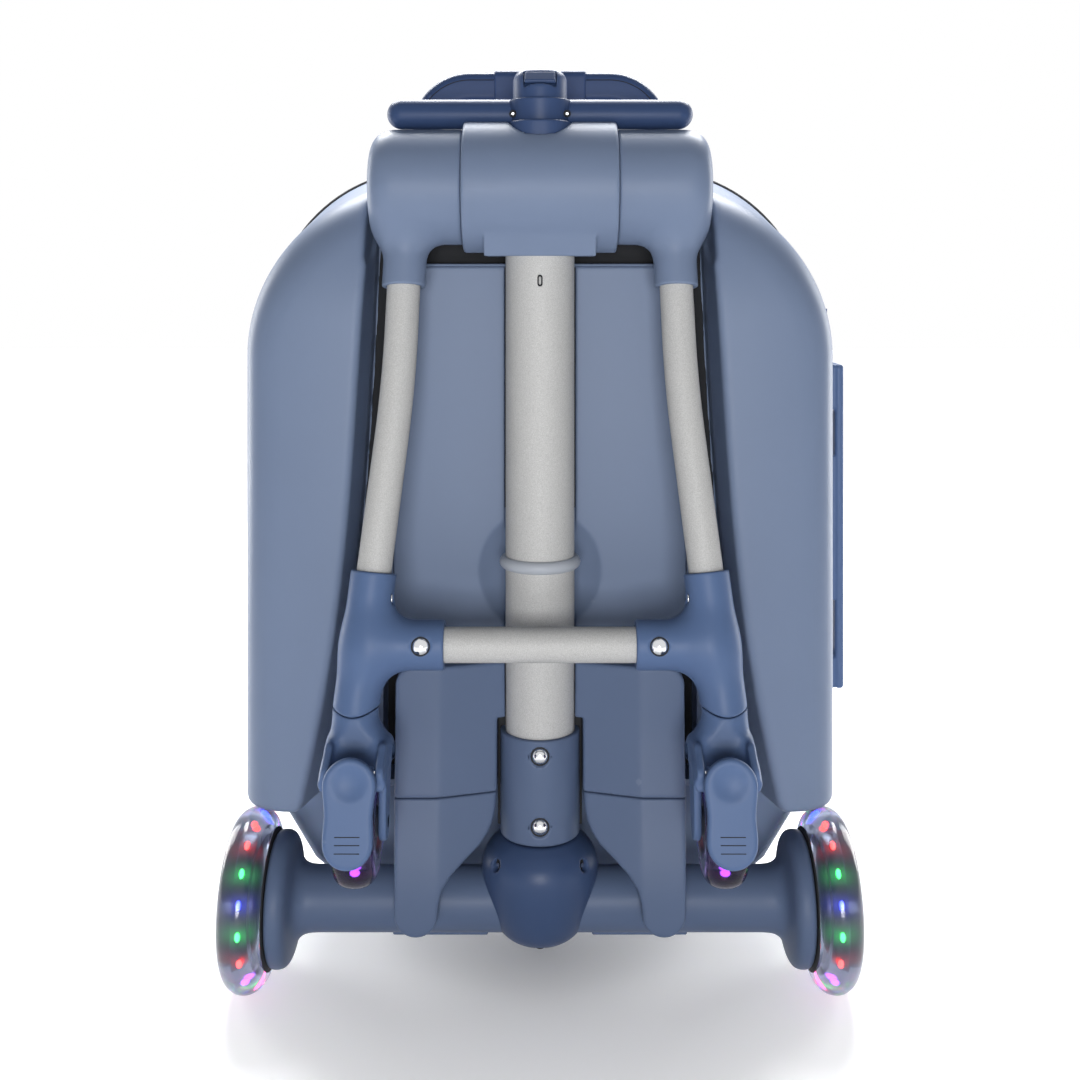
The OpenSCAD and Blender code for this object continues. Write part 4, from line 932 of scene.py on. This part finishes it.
class MakeHandlebar(bpy.types.Operator):
    """Make the grip bar with its collar, head, screws and release button"""

    bl_idname = "suitcase.handlebar"
    bl_label = "Handlebar"

    def execute(self, context):
        def collar_field(x, y, z):
            up, out = on_facet(y, z)
            radius = np.interp(z, (COLLAR_LOW, COLLAR_TOP), (16.5, 18.0))
            collar = (np.hypot(x, y) - radius) * 0.99
            collar = trim(trim(collar, z - COLLAR_TOP, 0.8), COLLAR_LOW - z, 0.6)
            knob = trim(trim(np.hypot(x, y) - HEAD_R, z - HEAD_TOP, 8.0), out, 1.6)
            body = join(collar, trim(knob, 512.0 - z, 0.3), 0.5)
            body = carve(body, block((x, up, out), (0, -0.7, -0.8), (9.5, 5.3, 3.8), 1.6), 0.4)
            screw = rod((np.abs(x), y, z), (COLLAR_SCREW_X, -8.4, COLLAR_SCREW_Z),
                        (COLLAR_SCREW_X, -30, COLLAR_SCREW_Z), 2.1)
            return carve(body, screw, 0.3)

        moulded("collar_and_head", collar_field, (-18.2, -18.2, 500.2), (18.2, 18.2, 531), 0.55, "handlebar",
                ["bar_collar"], "handle plastic")
        end = [(max(v * 8.7 / 8.9, 0.01), u) for u, v in arc(80.4, 0, 8.9, 0, 90, 14)]
        grip = turned(end + mirrored(end[::-1]), (0, GRIP_Y, GRIP_Z), "x", 72)
        piece("grip", grip, "handlebar", ["grip_bar"], "handle plastic")
        head_line = [(0.01, -8.6), (0.8, -8.6), (1.0, -8.3), (1.0, -6.4), (0.01, -6.4)]
        # Painted shade: near-black rings round the collar's screw heads, where their holes lie in shade.
        shade_line = [(1.05, -7.9), (2.1, -7.9), (2.1, -8.9), (1.05, -8.5)]
        heads, hole_shades = ([turned(line, (s * COLLAR_SCREW_X, 0, COLLAR_SCREW_Z), "y", 24) for _, s in SIDES]
                       for line in (head_line, shade_line))
        piece("collar_screw_heads", merge(*heads), "handlebar", ["collar_screws"], "rivet steel", sharp=40)
        shadow("collar_screw_shades", merge(*hole_shades), "handlebar")

        def button_field(x, y, z):
            up, out = on_facet(y, z)
            return block((x, up, out), (0, 0, -1.3), (9.1, 4.3, 1.3), 1.2)

        moulded("release_key", button_field, (-9.6, -17, 516), (9.6, 1, 531), 0.5, "button",
                ["release_button"], "handle plastic")
        return {"FINISHED"}


ELBOW_END = 98.2
SLEEVE_END_S = 59.0
ELBOW_BORE_S = 53.0
TEE_START = 51.6
TEE_R = 12.5
BRANCH_R = 13.4
BLADE_X = 13.9
GUARD_R = 35.1


def tee_end(x, gap):
    """Distance down the frame of the tee's curved lower end."""
    return TEE_END_S + 1.4 + gap - 5.0 * ((x - leg_x(TEE_END_S)) / TEE_R) ** 2


def taper(s, t, start, end):
    """Disc-ended taper in the fork's plane between two (place, place, radius) ends."""
    (s0, t0, r0), (s1, t1, r1) = start, end
    ds, dt = s1 - s0, t1 - t0
    u = np.clip(((s - s0) * ds + (t - t0) * dt) / (ds * ds + dt * dt), 0, 1)
    return np.hypot(s - s0 - u * ds, t - t0 - u * dt) - r0 - (r1 - r0) * u


class MakeFoldingFrame(bpy.types.Operator):
    """Make the elbows, bent legs, tees, rivets and forks of the folding frame"""

    bl_idname = "suitcase.folding_frame"
    bl_label = "Folding frame"

    def execute(self, context):
        step = context.scene.suitcase.part_step / MM
        # The leg's sideways place at each millimetre down the frame, its bend softened by a running mean
        bend = np.pad([leg_x(s) for s in range(320)], 40, mode="reflect", reflect_type="odd")
        soft = np.convolve(bend, np.ones(61) / 61, "same")[40:-40]

        def elbow_field(x, y, z):
            s, t = in_frame(y, z)
            body = trim(np.hypot(s, t) - ELBOW_R, x - ELBOW_END, 16.0)
            body = trim(body, BARREL_HALF + 0.4 - x, 1.6)
            sleeve = trim(leg_rod((x, s, t), 10, 80, 12.4), s - SLEEVE_END_S, 1.0)
            body = join(body, sleeve, 12.0)
            bore = trim(leg_rod((x, s, t), 30, 90, TUBE_R + 0.2), ELBOW_BORE_S - s, 0.3)
            return carve(body, bore, 0.5)

        def tee_field(x, y, z):
            s, t = in_frame(y, z)
            leg = leg_rod((x, s, t), 190, 320, TEE_R)
            leg = trim(leg, TEE_TOP_S - s - (x - 93) * 0.1, 1.2)
            leg = trim(leg, (s - tee_end(x, 0.0)) * 0.85, 0.8)
            branch = rod((x, s, t), (30, BAR_S, 0), (leg_x(BAR_S) - 6.5, BAR_S, 0), BRANCH_R)
            body = join(leg, trim(branch, TEE_START - x, 1.4), 15.0)
            body = carve(body, trim(leg_rod((x, s, t), 180, 235, TUBE_R + 0.15), s - 228, 0.3), 0.5)
            body = carve(body, trim(np.hypot(s - BAR_S, t) - TUBE_R - 0.15, x - 62, 0.3), 0.5)
            body = carve(body, trim(np.hypot(x - TEE_RIVET_X, s - BAR_S) - 5.4, 12.6 - t, 0.3), 0.5)
            inner = leg_x(LEG_RIVET_S) - 11.8
            return carve(body, trim(np.hypot(s - LEG_RIVET_S, t - 2) - 3.4, x - inner, 0.3), 0.4)

        def fork_field(x, y, z):
            s, t = in_frame(y, z)
            grow = np.clip((s - TEE_END_S) / 17, 0, 1)
            grow = grow * grow * (3 - 2 * grow)
            mid = leg_x(TEE_END_S) + (REAR_X - leg_x(TEE_END_S)) * grow
            half, thick = 12.2 + 3.8 * grow, 12.2 - 0.6 * grow
            crown = corner(np.abs(x - mid) - half, np.abs(t) - thick, 12.0 - 3.0 * grow)
            crown = trim(trim(crown, (tee_end(x, 0.5) - s) * 0.85, 0.8), s - 312.0, 2.0)
            horn = taper(s, t, (302, 4, 6), (318, 27, 4.4))
            blade = join(taper(s, t, (302, 3, 12), (REAR_S, 2, 9)), horn, 8.0)
            blade = trim(blade, np.abs(np.abs(x - REAR_X) - BLADE_X) - 2.1, 1.5)
            fork = join(crown, trim(blade, 304 - s, 3.0), 6.0)
            guard = trim(np.abs(np.hypot(s - REAR_S, t) - GUARD_R) - 1.3, np.abs(x - REAR_X) - 16.0, 1.6)
            guard = trim(guard, t * 0.574 - (REAR_S - s) * 0.819, 0.6)
            return join(fork, trim(guard, -t - 10, 0.6), 6.0)

        heads, hole_shades = [], []
        for side, k in SIDES:
            for label, field, low, high, finish in (
                    ("elbow_", elbow_field, (44.5, -34, 400), (98.5, 34, 497), "shell plastic"),
                    ("tee_", tee_field, (51.4, -78, 174), (113, -34, 257), "joint plastic"),
                    ("fork_", fork_field, (79.5, -96, 115), (113, -44, 182), "joint plastic")):
                moulded(label + "cover_" + side, field, low, high, step, "rear_frame", [label + side],
                        finish, flip=k < 0)
            path = [frame_point(k * soft[s], s, 0) for s in np.arange(38, 290, 2)]
            piece("bent_leg_" + side, swept(path, TUBE_R, 56), "rear_frame", ["leg_tube_" + side],
                  "blasted tube")
            for scale, centre, turn in (
                    (1.0, (k * TEE_RIVET_X, BAR_S, 12.7), 0),
                    (0.62, (k * (leg_x(LEG_RIVET_S) - 11.9), LEG_RIVET_S, 2), k * math.pi / 2)):
                # Painted shade: near-black rings round the rivet heads, where the recesses round them lie in
                # shade.
                for group, line in ((heads, DOME_LINE), (hole_shades, TEE_SHADE_LINE)):
                    rivet = turned(line, (0, 0, 0), "y", 36)
                    place = frame_point(*centre)
                    group.append(placed(rivet, (turn, "Z"), (-TILT, "X"), scale=scale, at=place))
        piece("tee_rivet_heads", merge(*heads), "rear_frame", ["tee_rivets"], "rivet steel", sharp=50)
        shadow("tee_rivet_shades", merge(*hole_shades), "rear_frame", 50)
        return {"FINISHED"}


PAD_TOP_S = 322.0
PAD_LENGTH = 26.9
PAD_FACE_T = 40.7
SMALL_TYRE_HALF = [(32.5, 0), (31.9, 5), (30, 8.6), (27, 10.8), (23, 11.4), (18.2, 11.2)]
SMALL_HUB_HALF = [(3.05, 11.3), (7, 11.3), (8, 9.5), (15, 9.5), (16, 11), (18, 11.2), (18, 3.2), (20.2, 3)]
SMALL_LAMP_R = 22.0
SMALL_LAMPS = ("red", "violet", "blue", "pink", "red", "violet")


class MakeRearWheels(bpy.types.Operator):
    """Make the two small clear wheels, their lights and the pads in front of them"""

    bl_idname = "suitcase.rear_wheels"
    bl_label = "Small wheels and pads"

    def execute(self, context):
        tyre_line = smooth_line(mirrored(SMALL_TYRE_HALF[:0:-1]) + SMALL_TYRE_HALF, 3)
        tyre_line += [(18.2, 4.2), (20.6, 4.2), (20.6, -4.2), (18.2, -4.2)]
        hub_line = mirrored(SMALL_HUB_HALF) + SMALL_HUB_HALF[::-1]

        def pad_field(x, y, z):
            s, t = in_frame(y, z)
            u = np.clip((s - PAD_TOP_S) / PAD_LENGTH, 0, 1)
            waist = 13.5 - 0.8 * u - 0.9 * np.sin(u * math.pi) ** 2
            plan = np.hypot(x - REAR_X, s - PAD_TOP_S - u * PAD_LENGTH) - waist
            body = trim(trim(plan, t - PAD_FACE_T, 2.6), 35.5 - t, 0.8)
            between = np.abs(x - REAR_X) - 11
            arm = trim(rod((x, s, t), (REAR_X, 318, 27), (REAR_X, 319, 37), 4.6), between, 1.0)
            bar = trim(rod((x, s, t), (REAR_X - 11, 318, 28), (REAR_X + 11, 318, 28), 3.9), between, 0.6)
            body = join(body, join(arm, bar, 2.0), 2.0)
            dish = np.sqrt((x - REAR_X) ** 2 + (s - 320.5) ** 2 + (t - 61.6) ** 2) - 22.6
            return carve(body, dish, 0.8)

        for side, k in SIDES:
            centre = frame_point(k * REAR_X, REAR_S, 0)
            lamps = lamp_places(centre, SMALL_LAMP_R, SMALL_LAMPS, 4.0)
            body = "rear_wheel_" + side
            piece("small_tyre_" + side, turned(tyre_line, centre, "x"), body, ["rear_tyre_" + side],
                  "smoky urethane", sharp=40)
            hub = piece("small_hub_" + side, turned(hub_line, centre, "x", 72), body, ["rear_hub_" + side],
                        "wheel core", sharp=30)
            paint_glow(hub, lamps, 6.0)
            lamp_domes("small_lamps", side, lamps, (2.0, 2.4, 1.6), 8, body)
            moulded("foot_pad_" + side, pad_field, (82, -118, 110), (110, -82, 170), 0.7, "pad_" + side,
                    ["brake_pad_" + side], "joint plastic", flip=k < 0)
            # Painted shade: thin near-black lines across the pad, standing for the shade in its grooves.
            groove_shades = []
            for at in (345.5, 349.3, 353.2):
                ends = [frame_point(k * REAR_X + x, at, PAD_FACE_T - 0.04) for x in (-6.3, -2.0, 2.0, 6.3)]
                groove_shades.append(swept(ends, 0.26))
            shadow("pad_groove_shades_" + side, merge(*groove_shades), "pad_" + side)
        return {"FINISHED"}


CARRY_Y = 80.0
ARMS_LOW = 469.0
SLEEVE_HALF = 29.0
LATCHES_Z = {"lower": 126.0, "upper": 378.0}


def carry_line(foot, half, bottom, middle, radius, slant, count):
    """An outline of the carry handle: up from the left foot, over the top and down to the right foot."""
    left = [(-foot, bottom), (-half, 497.6)] + arc(-44.5, middle, radius, 180 - slant, 90, count)
    return left + [(-x, z) for x, z in left[::-1]]


class MakeHandles(bpy.types.Operator):
    """Make the carry handle on top, the flat grip on the side and the latches and hinges of the lid"""

    bl_idname = "suitcase.handles"
    bl_label = "Handles and latches"

    def execute(self, context):
        outer = carry_line(84, 82, 464, 503.9, 37, 12, 14)
        inner = carry_line(66, 64, 430, 501.6, 19, 8, 12)

        def arms_field(x, y, z):
            body = trim(outline(x, z, outer), -outline(x, z, inner), 4.5)
            body = trim(body, np.abs(y - CARRY_Y) - 11, 6.0)
            return trim(body, ARMS_LOW - z, 0.5)

        moulded("carry_handle_loop", arms_field, (-84.5, 68, 467), (84.5, 92, 544), 1.0, "case",
                ["handle_arms"], "handle plastic")

        def grip_field(x, y, z):
            sleeve = block((0 * x, y, z), (0, CARRY_Y, 530.5), (SLEEVE_HALF, 12.5, 11.4), 4.5)
            return trim(sleeve, np.abs(x) - SLEEVE_HALF, 0.8)

        moulded("carry_handle_sleeve", grip_field, (-SLEEVE_HALF, 67, 518), (SLEEVE_HALF, 93, 542), 0.8,
                "case", ["handle_grip"], "handle plastic")
        for side, k in SIDES:
            # Painted shade: a thin near-black line along the carry handle's seam, where its gap lies in shade.
            seam = [(SLEEVE_HALF + 0.2, 535.6)] + arc(44.5, 502.6, 33, 90, 12, 18)
            shadow("carry_handle_seam_shade_" + side, swept([(k * x, 68.95, z) for x, z in seam], 0.28), "case")

        def side_field(x, y, z):
            body = block((x, y, z), (190.25, CARRY_Y, 252), (2.75, 11, 103), 2.2)
            body = np.minimum(body, block((x, y, z), (185.9, CARRY_Y, 251), (2.6, 10, 46), 1.0))
            for low, high in ((149, 169), (326, 355)):
                foot = block((x, y, z), (181.4, CARRY_Y, (low + high) / 2), (6.8, 10, (high - low) / 2), 2.0)
                body = join(body, foot, 1.5)
            return body

        moulded("side_grip", side_field, (174, 68, 148), (193.5, 92, 356), 0.9, "case", ["side_handle"],
                "joint plastic")

        for name, z in LATCHES_Z.items():
            def lever_field(x, y, zz, z=z):
                hinge = trim(np.hypot(x - 182.5, y - 88) - 3.4, np.abs(zz - z) - 8, 0.6)
                neck = block((x, y, zz), (182.3, 93, z), (2.2, 5.5, 8), 0.8)
                plate = block((x, y, zz), (182.0, 108, z), (2.7, 13.5, 11.5), 1.8)
                return join(join(hinge, neck, 1.0), plate, 1.5)

            moulded(name + "_latch_cover", lever_field, (178.8, 84, z - 12), (186.2, 122, z + 12), 0.6,
                    name + "_latch", ["latch_lever_" + name], "joint plastic")
        dress("latch_bases", "joint plastic")
        for node in ("lid_hinge_leaves", "lid_hinge_knuckles"):
            dress(node, "hinge steel")
        return {"FINISHED"}


def seen_directly(tree):
    """One where the camera looks at the backdrop, straight, mirrored or through clear plastic."""
    path = add(tree, "LightPath", {})
    total = path.outputs["Is Camera Ray"]
    for way in ("Is Glossy Ray", "Is Transmission Ray"):
        total = add(tree, "Math", {0: total, 1: path.outputs[way]}, operation="MAXIMUM").outputs[0]
    return total


# Middle and reach of the shadow painted into the floor's glow under the suitcase, and the photograph's camera,
# in metres
SHADE_MIDDLE = (-0.003, 0.021, 0)
SHADE_REACH = 0.40
EYE_PLACE = (AXLE + (0, -756, 415)) * MM


class MakeStage(bpy.types.Operator):
    """Make the pale floor with a shadow painted into its glow, the studio lights and the camera"""

    bl_idname = "suitcase.stage"
    bl_label = "Stage"

    def execute(self, context):
        scene = context.scene
        bpy.ops.mesh.primitive_plane_add(size=12, location=(0, 0, 0))
        floor = context.object
        floor.name = "floor"
        material = bpy.data.materials.new("pale floor")
        material.use_nodes = True
        tree = material.node_tree
        place = add(tree, "TexCoord", {}).outputs["Object"]
        # Painted shadow: the floor's glow is dimmed near the middle under the suitcase.
        away = add(tree, "VectorMath", {0: place, 1: SHADE_MIDDLE}, operation="DISTANCE")
        painted_shadow = ranged(away.outputs["Value"], 0.12, 1.0, end=SHADE_REACH)
        glow = add(tree, "Math", {0: seen_directly(tree), 1: painted_shadow}, operation="MULTIPLY").outputs[0]
        plug(tree.nodes["Principled BSDF"], {"Base Color": (0.80, 0.80, 0.81, 1.0), "Roughness": 0.7,
                                             "Emission Color": (1, 1, 1, 1), "Emission Strength": glow})
        floor.data.materials.append(material)

        world = bpy.data.worlds.new("studio")
        scene.world = world
        world.use_nodes = True
        tree = world.node_tree
        strength = ranged(seen_directly(tree), 0.04, 1.0)
        plug(tree.nodes["Background"], {"Color": (1, 1, 1, 1), "Strength": strength})

        def soft_light(name, place, aim, width, height, power):
            light = bpy.data.lights.new(name, "AREA")
            light.shape = "RECTANGLE"
            light.size, light.size_y = width, height
            light.energy = power
            lamp = bpy.data.objects.new(name, light)
            lamp.location = place
            lamp.rotation_euler = (Vector(aim) - Vector(place)).to_track_quat("-Z", "Y").to_euler()
            scene.collection.objects.link(lamp)

        soft_light("top_softbox", (0, 0.7, 1.25), (0, 0.0, 0.42), 1.3, 0.45, 42)
        for side, s in SIDES:
            soft_light(side + "_softbox", (s * 1.15, 0.76, 0.45), (0, 0.05, 0.3), 0.5, 1.0, 12)
        soft_light("front_softbox", (0.0, -1.55, 0.36), (0, 0, 0.34), 0.45, 0.42, 15.5)

        camera = bpy.data.cameras.new("photo_camera")
        camera.sensor_width = 36
        camera.lens = 43.333
        camera.shift_y = -0.25
        camera.clip_end = 50
        eye = bpy.data.objects.new("photo_camera", camera)
        eye.location = EYE_PLACE
        eye.rotation_euler = (math.pi / 2, 0, 0)
        scene.collection.objects.link(eye)
        scene.camera = eye
        scene.view_settings.view_transform = "Standard"
        return {"FINISHED"}


STEPS = (MakeFinishes, MakeCase, MakeSaddle, MakeBarrel, MakeAxle, MakeFrontWheels, MakePole, MakeHandlebar,
         MakeFoldingFrame, MakeRearWheels, MakeHandles, MakeStage)


class SuitcasePanel(bpy.types.Panel):
    """The sizes, colours and build steps of the suitcase"""

    bl_idname = "VIEW3D_PT_suitcase"
    bl_label = "Ride-on suitcase"
    bl_space_type = "VIEW_3D"
    bl_region_type = "UI"
    bl_category = "Suitcase"

    def draw(self, context):
        look = context.scene.suitcase
        for key in SuitcaseSettings.__annotations__:
            self.layout.prop(look, key)
        for step in STEPS:
            self.layout.operator(step.bl_idname)


CLASSES = (SuitcaseSettings,) + STEPS + (SuitcasePanel,)


def register():
    """Makes the suitcase's settings, operators and panel known."""
    for kind in CLASSES:
        bpy.utils.register_class(kind)
    bpy.types.Scene.suitcase = bpy.props.PointerProperty(type=SuitcaseSettings)


def unregister():
    """Takes them away again."""
    del bpy.types.Scene.suitcase
    for kind in reversed(CLASSES):
        bpy.utils.unregister_class(kind)


def main():
    """Builds everything in order."""
    register()
    for step in STEPS:
        area, name = step.bl_idname.split(".")
        getattr(getattr(bpy.ops, area), name)()


if __name__ == "__main__":
    main()
